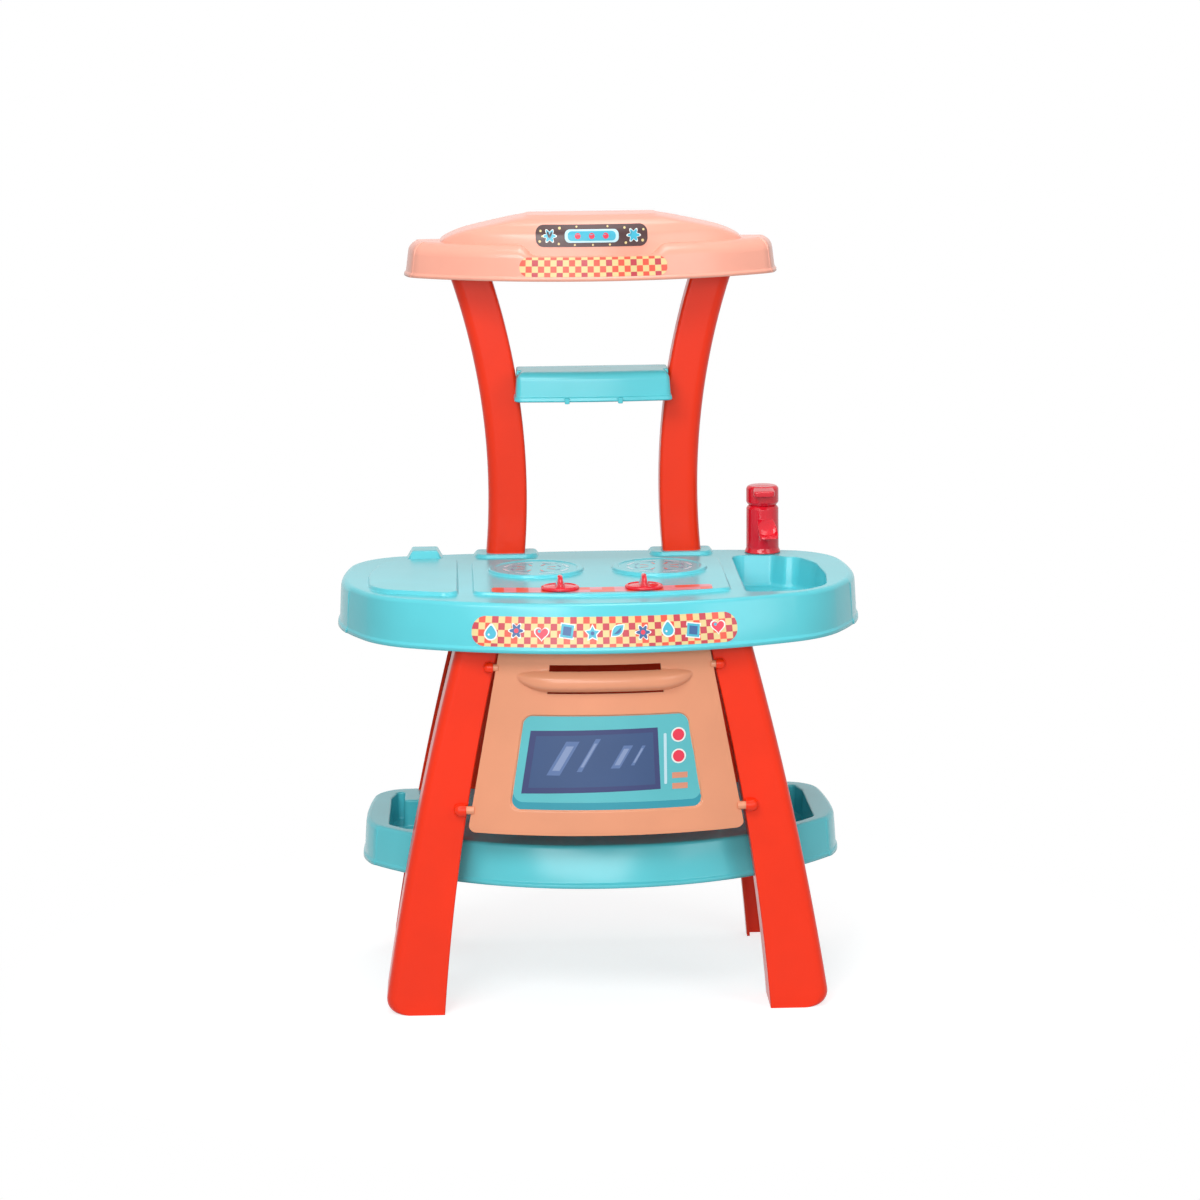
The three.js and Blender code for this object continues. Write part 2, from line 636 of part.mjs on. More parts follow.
// ---------------------------------------------------------------- hood
const HOOD_CREASE = 58;
const hoodHalf = arcChain(HOOD_FRONT, [
  [HOOD_BOW, 35.6], [HOOD_SHOULDER, HOOD_CREASE - 35.6], [HOOD_SHOULDER, 73 - HOOD_CREASE], [HOOD_END, 15],
  [HOOD_CORNER, 90],
]);
const HOOD_BACK = hoodHalf[hoodHalf.length - 1].y;
const bandProfile = [
  [0, -1.5, -1.5, -2.2, -0.7],
  [2.8, -1.3, -1.3, -1.9, -0.7],
  [5.2, 0.6, 0.3, -0.2, 0],
  [14, 2, 1, 1.2, 0.2],
  [BAND_HEIGHT - 11, 5, 3, 3.5, 0.5],
  [BAND_HEIGHT - 5, 8, 6, 6, 1.5],
  [BAND_HEIGHT - 1.5, 11, 9, 9.5, 4],
  [BAND_HEIGHT, 16, 15, 12.5, 8],
];
/** Dome levels: height above the hood's rim, half width, insets of the front and of the back. */
const domeLevels = [
  [10, DOME_HALF_BASE, 15, 4],
  [BAND_HEIGHT + 1, DOME_HALF_BASE - 1, 20.5, 4],
  [HOOD_HEIGHT - 22.5, DOME_HALF_BASE - 7, 21.5, 4],
  [HOOD_HEIGHT - 17.5, DOME_HALF_BASE - 18, 23, 4.5],
  [HOOD_HEIGHT - 14, DOME_HALF_BASE - 29, 25.5, 5],
  [HOOD_HEIGHT - 8, DOME_HALF_FLAT + 44.5, 30, 8],
  [HOOD_HEIGHT - 3, DOME_HALF_FLAT + 23, 37, 13],
  [HOOD_HEIGHT - 1, DOME_HALF_FLAT + 12, 44, 19],
  [HOOD_HEIGHT, DOME_HALF_FLAT, 54, 26],
];
const hoodBow = (x) => HOOD_FRONT + HOOD_BOW - Math.sqrt(HOOD_BOW * HOOD_BOW - x * x);

/** Dome over the band; inner gives the hollow a wall inside it. */
function dome(inner) {
  return loft(domeLevels.map(([height, half, front, back], i) => {
    const w = half - inner;
    const z = HOOD_RIM + height - (i > 0 ? inner : 0);
    const bow = [...Array(15).keys()].map((k) => {
      const x = -w + (2 * w * k) / 14;
      return new THREE.Vector3(x, hoodBow(x) + front + inner, z);
    });
    const rear = HOOD_BACK - back - inner;
    return [...bow, new THREE.Vector3(w, rear, z), new THREE.Vector3(-w, rear, z)];
  }));
}

const notchFace = [
  [-NOTCH_HALF, HOOD_RIM + BAND_HEIGHT - NOTCH_DEPTH, 10],
  [NOTCH_HALF, HOOD_RIM + BAND_HEIGHT - NOTCH_DEPTH, 10],
  [NOTCH_HALF + 4, HOOD_RIM + HOOD_HEIGHT, 0],
  [-NOTCH_HALF - 4, HOOD_RIM + HOOD_HEIGHT, 0],
];

/** Socket of the right post inside the hood: gripping walls and a rib that stops the post. */
function hoodSocket() {
  const grip = postForm(POST_TOP - 16, POST_TOP + 12, FIT + RIB);
  const core = postForm(POST_TOP - 17, POST_TOP + 13, FIT);
  const ribY = POST_FRONT + POST_DEPTH / 2;
  const x0 = postEdge(POST_INNER, POST_TOP) - 1;
  const x1 = postEdge(POST_OUTER, POST_TOP) + 1;
  const rib = box(x0, x1, ribY, ribY + RIB, POST_TOP + FIT, HOOD_RIM + HOOD_HEIGHT - 2);
  return join(cut(grip, core), rib);
}

function hood() {
  const notch = cut(prismY(notchFace, 0, NOTCH_REACH), dome(0));
  const notchWall = cut(prismY(notchFace, 0, NOTCH_REACH, -WALL), dome(WALL));
  const outer = join(cut(skirted(hoodHalf, HOOD_CREASE, HOOD_RIM, bandProfile), notch), dome(0));
  const inside = join(cut(hollow(hoodHalf, HOOD_CREASE, HOOD_RIM, bandProfile), notchWall), dome(WALL));
  const socket = hoodSocket().intersect(outer);
  const room = postForm(HOOD_RIM - 1, POST_TOP + FIT, FIT);
  return cut(
    join(cut(outer, inside), socket, mirrored(socket, true, false)),
    room,
    mirrored(room, true, false),
  );
}

// ---------------------------------------------------------------- shelf
const shelfBack = POST_FRONT - FIT;
const shelfCorners = [
  [0, SHELF_FRONT - 2.5, 460],
  [SHELF_HALF, SHELF_FRONT + 4.5, 4],
  [SHELF_HALF, shelfBack, 0],
  [-SHELF_HALF, shelfBack, 0],
  [-SHELF_HALF, SHELF_FRONT + 4.5, 4],
];
const bridgeHalf = postEdge(POST_INNER, SHELF_BOTTOM) - FIT;
const bridgeCorners = [
  [-bridgeHalf, shelfBack - 8, 0],
  [bridgeHalf, shelfBack - 8, 0],
  [bridgeHalf, POST_FRONT + POST_DEPTH - 1, 3],
  [-bridgeHalf, POST_FRONT + POST_DEPTH - 1, 3],
];

/** Front part and bridge between the posts; inside gives the hollow under both. */
function shelfForm(isInside) {
  const wall = isInside ? WALL - 0.5 : 0;
  const low = isInside ? SHELF_BOTTOM - 1 : SHELF_BOTTOM;
  const top = SHELF_BOTTOM + SHELF_HEIGHT - wall;
  const front = stack(shelfCorners, [
    [low, wall],
    [SHELF_BOTTOM + 4.5, 0.2 + wall],
    [SHELF_BOTTOM + 6, 1.2 + wall],
    [top - 6, 2 + wall],
    [top - 1.5, 4 + wall],
    [top, 7 + wall],
  ], 7);
  const bridge = stack(bridgeCorners, [[low + 2, wall], [top - 3, wall], [top - 2, wall + 1]], 3);
  return join(front, bridge);
}

function shelf() {
  const peg = rodX(bridgeHalf - 2, bridgeHalf + WALL + 2, PEG_Y, PEG_Z, PEG_RADIUS, 1.5);
  const hook = stack([[24.5, 84, 1], [29.5, 84, 1], [29.5, 90, 1], [24.5, 90, 1]], [
    [SHELF_BOTTOM - 1.5, 1], [SHELF_BOTTOM + 4.5, 0],
  ], 2);
  const pieces = [peg, hook].flatMap((body) => [body, mirrored(body, true, false)]);
  return join(cut(shelfForm(false), shelfForm(true)), ...pieces);
}

// ---------------------------------------------------------------- oven door and back panel
/** Half width: tapered with the legs, and below the pivot straight, so that it swings in between them. */
const doorSide = (z) => Math.min(DOOR_HALF - DOOR_TAPER * (z - PIVOT_Z), legInner(PIVOT_Z) - 2 * FIT);
const doorEdge = (z) => legFront(z) - DOOR_PROUD;

/** Half width at height z, with the lower corners rounded. */
function doorHalf(z) {
  const depth = Math.max(DOOR_CORNER - (z - DOOR_BOTTOM), 0);
  return doorSide(z) - DOOR_CORNER + Math.sqrt(DOOR_CORNER * DOOR_CORNER - depth * depth);
}

/** Bowed front of the door: its sides lie along the legs, and its middle stands forward. */
function doorArc(x, z) {
  const rise = (u) => Math.sqrt(DOOR_BOW ** 2 - Math.min(u * u, DOOR_BOW ** 2));
  return doorEdge(z) - rise(x) + rise(doorSide(z));
}

/** How far the handle stands out of the door at x and z. */
function handleBulge(x, z) {
  const along = THREE.MathUtils.smoothstep(HANDLE_HALF - Math.abs(x), 0, HANDLE_HALF - SLOT_HALF);
  const low = SLOT_LOW - 12 - 8 * along;
  const high = SLOT_LOW - 8 + 8 * along;
  const t = (z - low) / (high - low);
  if (along === 0 || t <= 0 || t >= 1) return 0;
  return HANDLE_BULGE * along * (1 - (2 * t - 1) ** 4);
}

const doorFront = (x, z) => doorArc(x, z) - handleBulge(x, z);
function spread(from, to, count) {
  return [...Array(count).keys()].map((k) => from + ((to - from) * k) / (count - 1));
}

/** Half width of the rounded label recess at height z, grown by more. */
function recessHalf(z, more) {
  const down = (RECESS_TOP - z) / (RECESS_TOP - RECESS_BOTTOM);
  const side = THREE.MathUtils.lerp(RECESS_TOP_HALF, RECESS_BOTTOM_HALF, down);
  const radius = 10 + more;
  const near = Math.min(z - (RECESS_BOTTOM - more), RECESS_TOP + more - z);
  const depth = Math.max(radius - near, 0);
  return side + more - radius + Math.sqrt(Math.max(radius * radius - depth * depth, 0));
}

function recessPanel(more, front, back) {
  const low = RECESS_BOTTOM - more;
  const high = RECESS_TOP + more;
  const rows = [0, 1, 4, 10].map((d) => low + d).concat([10, 4, 1, 0].map((d) => high - d));
  return panel(rows, spread(-1, 1, 9), (z) => recessHalf(z, more), front, back);
}

function ovenDoor() {
  const corner = [0, 0.15, 0.5, 1].map((t) => DOOR_BOTTOM + DOOR_CORNER * t);
  const handleRows = [-22, -20, -18.5, -15, -10, -5, -1.5, 0].map((d) => SLOT_LOW + d);
  const rows = [...corner, 265, ...handleRows, SLOT_LOW + SLOT_HEIGHT, DOOR_TOP];
  const columns = spread(-1, 1, 19);
  const sheet = panel(rows, columns, doorHalf, doorFront, (x, z) => doorFront(x, z) + WALL);
  const cutter = recessPanel(0, (x, z) => doorArc(x, z) - 9, (x, z) => doorArc(x, z) + RECESS_DEPTH);
  const seatBack = (x, z) => doorArc(x, z) + RECESS_DEPTH + WALL;
  const backing = recessPanel(WALL, (x, z) => doorArc(x, z) + 1, seatBack);
  const rib = (z) => panel([z, z + RIB], spread(-1, 1, 13), (h) => doorSide(h) - 14,
    (x, h) => doorArc(x, h) + 1, (x, h) => doorArc(x, h) + WALL + 6);
  const slot = (z0, z1) => stack([
    [-SLOT_HALF, -190, 0], [SLOT_HALF, -190, 0], [SLOT_HALF, -100, 0], [-SLOT_HALF, -100, 0],
  ], [[z0, 0], [z1, 0]]);
  const pins = [
    rodX(doorSide(PIVOT_Z) - 4, bossX + PIN_REACH, PIVOT_Y, PIVOT_Z, PIVOT_RADIUS, 1),
    rodX(doorSide(CATCH_Z) - 4, catchX + PIN_REACH, catchY, CATCH_Z, CATCH_RADIUS, 1),
  ];
  const body = join(sheet, backing, rib(DOOR_BOTTOM + 12), rib(RECESS_TOP + 8));
  return join(
    cut(body, cutter, slot(SLOT_LOW, SLOT_LOW + SLOT_HEIGHT), slot(SLOT_LOW - 22.5, SLOT_LOW - 20)),
    ...pins.flatMap((pin) => [pin, mirrored(pin, true, false)]),
  );
}

function ovenBackPanel() {
  const low = TRAY_TOP + FIT;
  const high = LEG_TOP - SOCKET_GRIP - 5;
  const half = (z) => legInner(z) - REAR_LEG_INSET - FIT;
  const face = [
    [-half(low), low, 2], [half(low), low, 2], [half(high) - 0.4, high, 2], [-half(high) + 0.4, high, 2],
  ];
  const sheet = prismY(face, BACK_PANEL_Y, BACK_PANEL_Y + BACK_PANEL_DEPTH);
  const pan = prismY(face, BACK_PANEL_Y + WALL, BACK_PANEL_Y + BACK_PANEL_DEPTH + 1, WALL);
  return cut(sheet, pan);
}

// ---------------------------------------------------------------- knobs and tap
/** Prism of a side outline of [y, z] points, centred on x = 0 and rounded along its edges. */
function sideForm(points, width, bevel) {
  const shape = new THREE.Shape(points.map(([y, z]) => new THREE.Vector2(y, z)));
  const geometry = new THREE.ExtrudeGeometry(shape, {
    depth: width - 2 * bevel,
    bevelEnabled: true,
    bevelThickness: bevel,
    bevelSize: bevel,
    bevelOffset: -bevel,
    bevelSegments: 3,
  });
  geometry.translate(0, 0, -width / 2 + bevel);
  geometry.rotateY(Math.PI / 2);
  geometry.rotateX(Math.PI / 2);
  return solid(geometry);
}

function knob() {
  const base = COUNTER_TOP + PANEL_RISE + FIT;
  const under = COUNTER_TOP - WALL - FIT;
  const disc = revolve([
    [0, under - 5], [SHAFT_RADIUS - 1, under - 5], [SHAFT_RADIUS + 1.5, under - 1],
    [SHAFT_RADIUS + 1.5, under], [SHAFT_RADIUS, under], [SHAFT_RADIUS, base],
    [KNOB_RADIUS - 0.8, base], [KNOB_RADIUS, base + 0.8],
    [KNOB_RADIUS, base + KNOB_THICK - 1], [KNOB_RADIUS - 1, base + KNOB_THICK],
    [KNOB_RADIUS - 4, base + KNOB_THICK - 0.6], [6, base + KNOB_THICK + 1.6], [0, base + KNOB_THICK + 1.6],
  ], 0, 0, 24);
  const top = base + KNOB_THICK + FIN_HEIGHT;
  const end = KNOB_RADIUS - 1.2;
  const crest = new THREE.QuadraticBezierCurve(
    new THREE.Vector2(end - 1, base + KNOB_THICK + 3), new THREE.Vector2(0, 2 * top - base - KNOB_THICK - 3),
    new THREE.Vector2(-end + 1, base + KNOB_THICK + 3),
  ).getPoints(8).map((p) => [p.x, p.y]);
  const fin = sideForm([[-end, base + 1], [end, base + 1], ...crest], FIN_WIDTH, 1.4);
  return join(disc, fin);
}

const tapBase = COUNTER_TOP + FIT;
const tapNeck = tapBase + TAP_HEIGHT;

function tapBody() {
  const under = COUNTER_TOP - 9 - FIT;
  const column = revolve([
    [0, under - 6], [TAP_STEM - 1.5, under - 6], [TAP_STEM + 2, under - 1.5], [TAP_STEM + 2, under],
    [TAP_STEM, under], [TAP_STEM, tapBase], [TAP_RADIUS + 1.8, tapBase], [TAP_RADIUS + 1.6, tapBase + 1],
    [TAP_RADIUS + 0.3, tapBase + 3], [TAP_RADIUS, tapBase + 8], [TAP_RADIUS, tapNeck - 3],
    [TAP_RADIUS - 0.5, tapNeck - 1.6], [TAP_RADIUS - 1.8, tapNeck], [CAP_STEM + FIT, tapNeck],
    [CAP_STEM + FIT, tapNeck - 14], [0, tapNeck - 14],
  ], 0, 0, 24);
  const z = tapNeck - 6;
  const upper = new THREE.CubicBezierCurve(
    new THREE.Vector2(-6, z), new THREE.Vector2(-22, z), new THREE.Vector2(-SPOUT_REACH, z - 4),
    new THREE.Vector2(-SPOUT_REACH, z - 24),
  ).getPoints(8).map((p) => [p.x, p.y]);
  const lower = [[-SPOUT_REACH + 11, z - 24], [-TAP_RADIUS - 2, z - 19], [-6, z - 19]];
  return join(column, sideForm([...upper, ...lower], SPOUT_WIDTH, 4));
}

function tapCap() {
  const base = tapNeck + FIT;
  const top = base + CAP_HEIGHT;
  const dome = revolve([
    [0, base - 13], [CAP_STEM, base - 13], [CAP_STEM, base], [TAP_RADIUS - 1.8, base],
    [TAP_RADIUS, base + 1.8], [TAP_RADIUS, top - 4], [TAP_RADIUS - 1.2, top - 1.4],
    [TAP_RADIUS - 4.5, top], [0, top],
  ], 0, 0, 24);
  const lever = sideForm([
    [-2, top - 1], [-TAP_RADIUS + 4, top - 0.6], [-LEVER_REACH, top - 3.5], [-LEVER_REACH - 1, top - 5],
    [-LEVER_REACH, top - 7.5], [-TAP_RADIUS + 1, top - 8], [-2, top - 8],
  ], LEVER_WIDTH, 1.3);
  return join(dome, lever);
}

// ---------------------------------------------------------------- the assembly
const plastic = (color, roughness) => new THREE.MeshStandardMaterial({ color, roughness, metalness: 0 });
const turquoise = plastic('#5fd3de', 0.22);
const orange = plastic('#f8472c', 0.28);
const peach = plastic('#f8b096', 0.3);
const crimson = plastic('#dc2837', 0.18);

const kitchen = new THREE.Group();

function addPiece(name, body, material, place = {}) {
  const mesh = new THREE.Mesh(geometryOf(body), material);
  mesh.name = name;
  mesh.position.set(place.x ?? 0, place.y ?? 0, 0);
  mesh.rotation.z = place.turn ?? 0;
  kitchen.add(mesh);
}

addPiece('countertop', countertop(), turquoise);
addPiece('lower_tray', lowerTray(), turquoise);
addPiece('hood', hood(), peach);
addPiece('shelf', shelf(), turquoise);
addPiece('oven_door', ovenDoor(), peach);
addPiece('oven_back_panel', ovenBackPanel(), orange);
for (const [side, flip] of [['right', false], ['left', true]]) {
  addPiece(`leg_front_${side}`, mirrored(frontLeg, flip, false), orange);
  addPiece(`leg_rear_${side}`, mirrored(rearLeg, flip, true, -REAR_LEG_INSET), orange);
  addPiece(`post_${side}`, mirrored(post, flip, false), orange);
  addPiece(`knob_${side}`, knob(), crimson, { x: flip ? -KNOB_X : KNOB_X, y: KNOB_Y });
}
addPiece('tap_body', tapBody(), crimson, { x: TAP_X, y: TAP_Y, turn: rad(SPOUT_TURN) });
addPiece('tap_lever', tapCap(), crimson, { x: TAP_X, y: TAP_Y });

export default kitchen;
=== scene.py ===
import math

import bpy
import bmesh
from mathutils import Matrix, Vector
from mathutils.geometry import tessellate_polygon


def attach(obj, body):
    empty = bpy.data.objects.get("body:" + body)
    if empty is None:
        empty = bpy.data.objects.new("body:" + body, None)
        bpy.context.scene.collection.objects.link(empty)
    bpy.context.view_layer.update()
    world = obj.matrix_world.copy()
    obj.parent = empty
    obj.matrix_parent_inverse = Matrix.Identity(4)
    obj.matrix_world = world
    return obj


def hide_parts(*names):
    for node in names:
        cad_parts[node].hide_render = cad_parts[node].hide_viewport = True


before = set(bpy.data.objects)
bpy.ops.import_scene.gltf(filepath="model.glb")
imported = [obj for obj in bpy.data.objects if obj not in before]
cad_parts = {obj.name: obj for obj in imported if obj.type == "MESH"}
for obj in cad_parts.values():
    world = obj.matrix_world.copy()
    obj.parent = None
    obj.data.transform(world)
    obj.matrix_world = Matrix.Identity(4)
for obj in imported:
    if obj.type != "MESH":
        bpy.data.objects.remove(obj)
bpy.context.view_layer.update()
FRAME_BODY = "kitchen_frame"

# ---------- sizes in mm, mostly those of the CAD model
MID_Y = 13
WALL = 2.6
LEG_WALL = 3.0
RIM, TOP = 366, 412
TRAY_RIM, TRAY_TOP = 126, 166
HOOD_RIM = 703
SHELF_LOW, SHELF_TOP = 576, 606
DOOR_LOW, DOOR_HIGH = 185, 362
PIVOT_Y, PIVOT_Z = -129, 206.5
CATCH_Z = 347
KNOB_X, KNOB_Y = 41, -80.5
FIN_HALF = 16.4
TAP_X, TAP_Y = 174.3, 131.5
POST_FRONT, POST_DEPTH = 129.5, 25
POST_LOW, POST_HIGH = 407.5, 732.7
POST_INNER, POST_OUTER = 734.8, 701.3
STOVE_RISE, BURNER_RISE, LABEL_SINK = 3.0, 3, 2.2
PANEL_RISE = 3.5
BURNER_X, BURNER_Y = 62, 28.5
BASIN_FLOOR = 381
POCKET_DEPTH = 28
FOOT_RADIUS = 18
RIB_LEVELS = (125.7, 220, 305)
PIN_REACH = 6

UP = (0, 0, 1)
FRONT = (0, -1, 0)
SIDES = (("right", 1, None), ("left", -1, "x"))  # name, sign of X, flip of a right-hand mesh
TURN_STEP = 2.2  # degrees between an outline's points, where no arc says otherwise
rad = math.radians


def lerp(a, b, t):
    return a + (b - a) * t


def mix(p, q, t):
    return tuple(lerp(a, b, t) for a, b in zip(p, q))


def ease(value, low, high):
    t = min(max((value - low) / (high - low), 0), 1)
    return t * t * (3 - 2 * t)


def spread(low, high, count):
    return [lerp(low, high, k / (count - 1)) for k in range(count)]


# ---------- outlines and sections
def fillet(points, closed=False, steps=6, inset=0.0):
    """Rounded polyline through (a, b, radius) points, moved to the left by inset."""
    count = len(points)
    out = []
    for i, (a, b, radius) in enumerate(points):
        here = Vector((a, b))
        if not closed and i in (0, count - 1):
            out.append((a, b))
            continue
        before = Vector(points[i - 1][:2])
        after = Vector(points[(i + 1) % count][:2])
        into = (here - before).normalized()
        away = (after - here).normalized()
        left_in = Vector((-into.y, into.x))
        left_out = Vector((-away.y, away.x))
        corner = here + (left_in + left_out) * (inset / (1 + left_in.dot(left_out)))
        turn = math.atan2(into.x * away.y - into.y * away.x, into.dot(away))
        if radius <= 0 or abs(turn) < 1e-4:
            out.append(tuple(corner))
            continue
        side = 1 if turn > 0 else -1
        r = max(radius - side * inset, 0.3)
        room = min(
            (here - before).length * (0.96 if i == 1 else 0.48),
            (after - here).length * (0.96 if i == count - 2 else 0.48),
        )
        reach = r * math.tan(abs(turn) / 2)
        if not closed and reach > room:
            r *= room / reach
        start = corner - into * (r * math.tan(abs(turn) / 2))
        centre = start + left_in * (side * r)
        spoke = start - centre
        for k in range(steps + 1):
            angle = turn * k / steps
            cos, sin = math.cos(angle), math.sin(angle)
            out.append((centre.x + spoke.x * cos - spoke.y * sin, centre.y + spoke.x * sin + spoke.y * cos))
    return out


def arc_chain(start_y, arcs, chord=9.0):
    """Right half outline of tangent arcs as (x, y, heading), closed at the back."""
    points = [(0.0, start_y, 0.0)]

    def walk(radius, turn, step):
        x, y, h = points[-1]
        steps = max(math.ceil(turn / rad(step)), math.ceil(radius * turn / chord))
        for k in range(1, steps + 1):
            g = h + turn * k / steps
            points.append((
                x + radius * (math.sin(g) - math.sin(h)),
                y + radius * (math.cos(h) - math.cos(g)),
                g,
            ))

    for arc in arcs:
        walk(arc[0], rad(arc[1]), arc[2] if len(arc) > 2 else TURN_STEP)
    x, y, h = points[-1]
    walk(x / math.sin(math.pi - h), math.pi - h, TURN_STEP)
    points[-1] = (0.0, points[-1][1], math.pi)
    return points


def whole(half):
    """Full ring, anticlockwise, from its right half."""
    return half + [(-x, y, z) for x, y, z in reversed(half[1:-1])]


def skirt(lip, top, radius, last, high):
    """Section points of a skirt: rim bead, wall that leans back more towards the top, shoulder."""
    bow = 0.62
    foot, bead, start = lip
    path = [(foot, 0, 0), (foot + 0.2, 3.2, 0.9), (bead, start, 1.6)]
    upper = high - max(radius, 5) * 1.1
    for z in spread(start + 3, upper, 9):
        t = (z - start) / (high - start)
        path.append((bead + (top - bead) * t * (bow + (1 - bow) * t), z, 0))
    return path + [(top, high, radius), (last, high, 0)]


class Section:
    """Skirt whose wall path blends from centre to corner up to the crease, and from end to back behind it."""

    def __init__(self, half, crease, rim, centre, corner, end, back):
        self.half = half
        self.crease = rad(crease)
        self.soft = rad(1.6)
        self.rim = rim
        self.paths = [fillet(p, steps=7) for p in (centre, corner, end, back)]

    def path(self, heading):
        centre, corner, end, back = self.paths
        heading = abs(heading)
        t = min(heading / self.crease, 1)
        w = ease(heading, self.crease, self.crease + self.soft)
        b = ease(heading, rad(115), rad(165))
        return [mix(mix(c, k, t), mix(e, r, b), w) for c, k, e, r in zip(centre, corner, end, back)]

    def rings(self):
        columns = []
        for x, y, h in self.half:
            columns.append([
                (x - math.sin(h) * inset, y + math.cos(h) * inset, self.rim + height)
                for inset, height in self.path(h)
            ])
        return [whole([column[k] for column in columns]) for k in range(len(self.paths[0]))]

    def face(self, bow, front, x, z):
        """Point of the bowed front at x and height z, and its outward normal."""
        heading = math.asin(x / bow)
        path = self.path(heading)
        height = z - self.rim
        inset = path[-1][0]
        for (i0, h0), (i1, h1) in zip(path, path[1:]):
            if h0 <= height <= h1 and h1 > h0:
                inset = lerp(i0, i1, (height - h0) / (h1 - h0))
                slope = (i1 - i0) / (h1 - h0)
                break
        y = front + bow - math.sqrt(bow * bow - x * x)
        normal = Vector((math.sin(heading), -math.cos(heading), slope)).normalized()
        return Vector((x - math.sin(heading) * inset, y + math.cos(heading) * inset, z)), normal


# ---------- meshes
class Skin:
    """Collects vertices in mm and faces."""

    def __init__(self):
        self.verts = []
        self.faces = []

    def ring(self, points):
        start = len(self.verts)
        self.verts.extend(tuple(p) for p in points)
        return list(range(start, len(self.verts)))

    def bridge(self, a, b, closed=True):
        count = len(a)
        for i in range(count if closed else count - 1):
            j = (i + 1) % count
            self.faces.append((a[i], a[j], b[j], b[i]))

    def loft(self, rings, closed=True):
        made = [self.ring(r) for r in rings]
        for a, b in zip(made, made[1:]):
            self.bridge(a, b, closed)
        return made

    def fill(self, outer, holes=()):
        loops = [outer] + list(holes)
        flat = [i for loop in loops for i in loop]
        tris = tessellate_polygon([[Vector(self.verts[i]) for i in loop] for loop in loops])
        self.faces.extend(tuple(flat[i] for i in tri) for tri in tris)


def build(name, skin, material, body=FRAME_BODY, up=None, wall=0.0, bevel=0.0, flip=None, replaces=()):
    """Mesh object in metres. flip mirrors it: 'x', 'y' (about the plane between the legs) or 'xy'."""
    bm = bmesh.new()
    verts = [bm.verts.new(Vector(v) * 0.001) for v in skin.verts]
    for f in skin.faces:
        ids = []
        for i in f:
            if i not in ids:
                ids.append(i)
        if len(ids) > 2:
            try:
                bm.faces.new([verts[i] for i in ids])
            except ValueError:
                pass
    bmesh.ops.remove_doubles(bm, verts=bm.verts, dist=2e-6)
    bmesh.ops.recalc_face_normals(bm, faces=bm.faces)
    if up is not None:
        axis = Vector(up)
        total = sum((f.normal.dot(axis) * f.calc_area() for f in bm.faces), 0.0)
        if total < 0:
            bmesh.ops.reverse_faces(bm, faces=bm.faces)
    if flip:
        for v in bm.verts:
            if "x" in flip:
                v.co.x = -v.co.x
            if "y" in flip:
                v.co.y = 2 * MID_Y * 0.001 - v.co.y
        if len(flip) == 1:
            bmesh.ops.reverse_faces(bm, faces=bm.faces)
    mesh = bpy.data.meshes.new(name)
    bm.to_mesh(mesh)
    bm.free()
    obj = bpy.data.objects.new(name, mesh)
    bpy.context.scene.collection.objects.link(obj)
    finish_piece(obj, material, body, wall, bevel)
    if replaces:
        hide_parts(*replaces)
    return obj


def finish_piece(obj, material, body, wall=0.0, bevel=0.0):
    for p in obj.data.polygons:
        p.use_smooth = True
    obj.data.materials.clear()
    obj.data.materials.append(material)
    if wall:
        solid = obj.modifiers.new("wall", "SOLIDIFY")
        solid.thickness = wall * 0.001
        solid.offset = -1
        solid.use_even_offset = False
    if bevel:
        edge = obj.modifiers.new("edge", "BEVEL")
        edge.width = bevel * 0.001
        edge.segments = 3
        edge.limit_method = "ANGLE"
        edge.angle_limit = rad(40)
        edge.harden_normals = False
    smooth_by_angle(obj, 42)
    weights = obj.modifiers.new("normals", "WEIGHTED_NORMAL")
    weights.keep_sharp = True
    weights.weight = 50
    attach(obj, body)


def smooth_by_angle(obj, degrees):
    """Marks edges sharper than the angle, so that the rest shades smooth."""
    bm = bmesh.new()
    bm.from_mesh(obj.data)
    limit = rad(degrees)
    for e in bm.edges:
        if len(e.link_faces) == 2:
            e.smooth = e.calc_face_angle(0) < limit
    bm.to_mesh(obj.data)
    bm.free()


def capped(rings, bottom=True):
    """Skin through rings, closed at its last ring and, unless told, at its first."""
    skin = Skin()
    made = skin.loft(rings)
    if bottom:
        skin.fill(made[0])
    skin.fill(made[-1])
    return skin


def stack(corners, levels, steps=8, bottom=True):
    """Form of one filleted outline at (z, inset) levels, closed above and, unless told, below."""
    rings = [[(x, y, z) for x, y in fillet(corners, True, steps, inset)] for z, inset in levels]
    return capped(rings, bottom)


def round_rings(path, place, count=96):
    """Rings of a revolved (radius, along) path; place(cos part, sin part, along) gives a point."""
    rings = []
    for r, along in path:
        r = max(r, 0.001)
        rings.append([
            place(r * math.cos(2 * math.pi * k / count), r * math.sin(2 * math.pi * k / count), along)
            for k in range(count)
        ])
    return rings


def lathe(path, x, y):
    """Revolved (radius, z) path about a vertical axis."""
    skin = Skin()
    skin.loft(round_rings(path, lambda c, s, z: (x + c, y + s, z)))
    return skin


def lathe_x(path, y, z):
    """Revolved (radius, x) path about an axis along X."""
    skin = Skin()
    skin.loft(round_rings(path, lambda c, s, x: (x, y + c, z + s), 48))
    return skin


def linear(hex_color):
    values = [int(hex_color[i:i + 2], 16) / 255 for i in (1, 3, 5)]
    return tuple(v / 12.92 if v <= 0.04045 else ((v + 0.055) / 1.055) ** 2.4 for v in values)


def add_node(tree, kind, values=None, **links):
    """New node; values sets inputs by name, links joins an output to an input (underscores are spaces)."""
    made = tree.nodes.new(kind)
    for key, value in (values or {}).items():
        made.inputs[key].default_value = value
    for key, source in links.items():
        tree.links.new(source, made.inputs[key.replace("_", " ")])
    return made


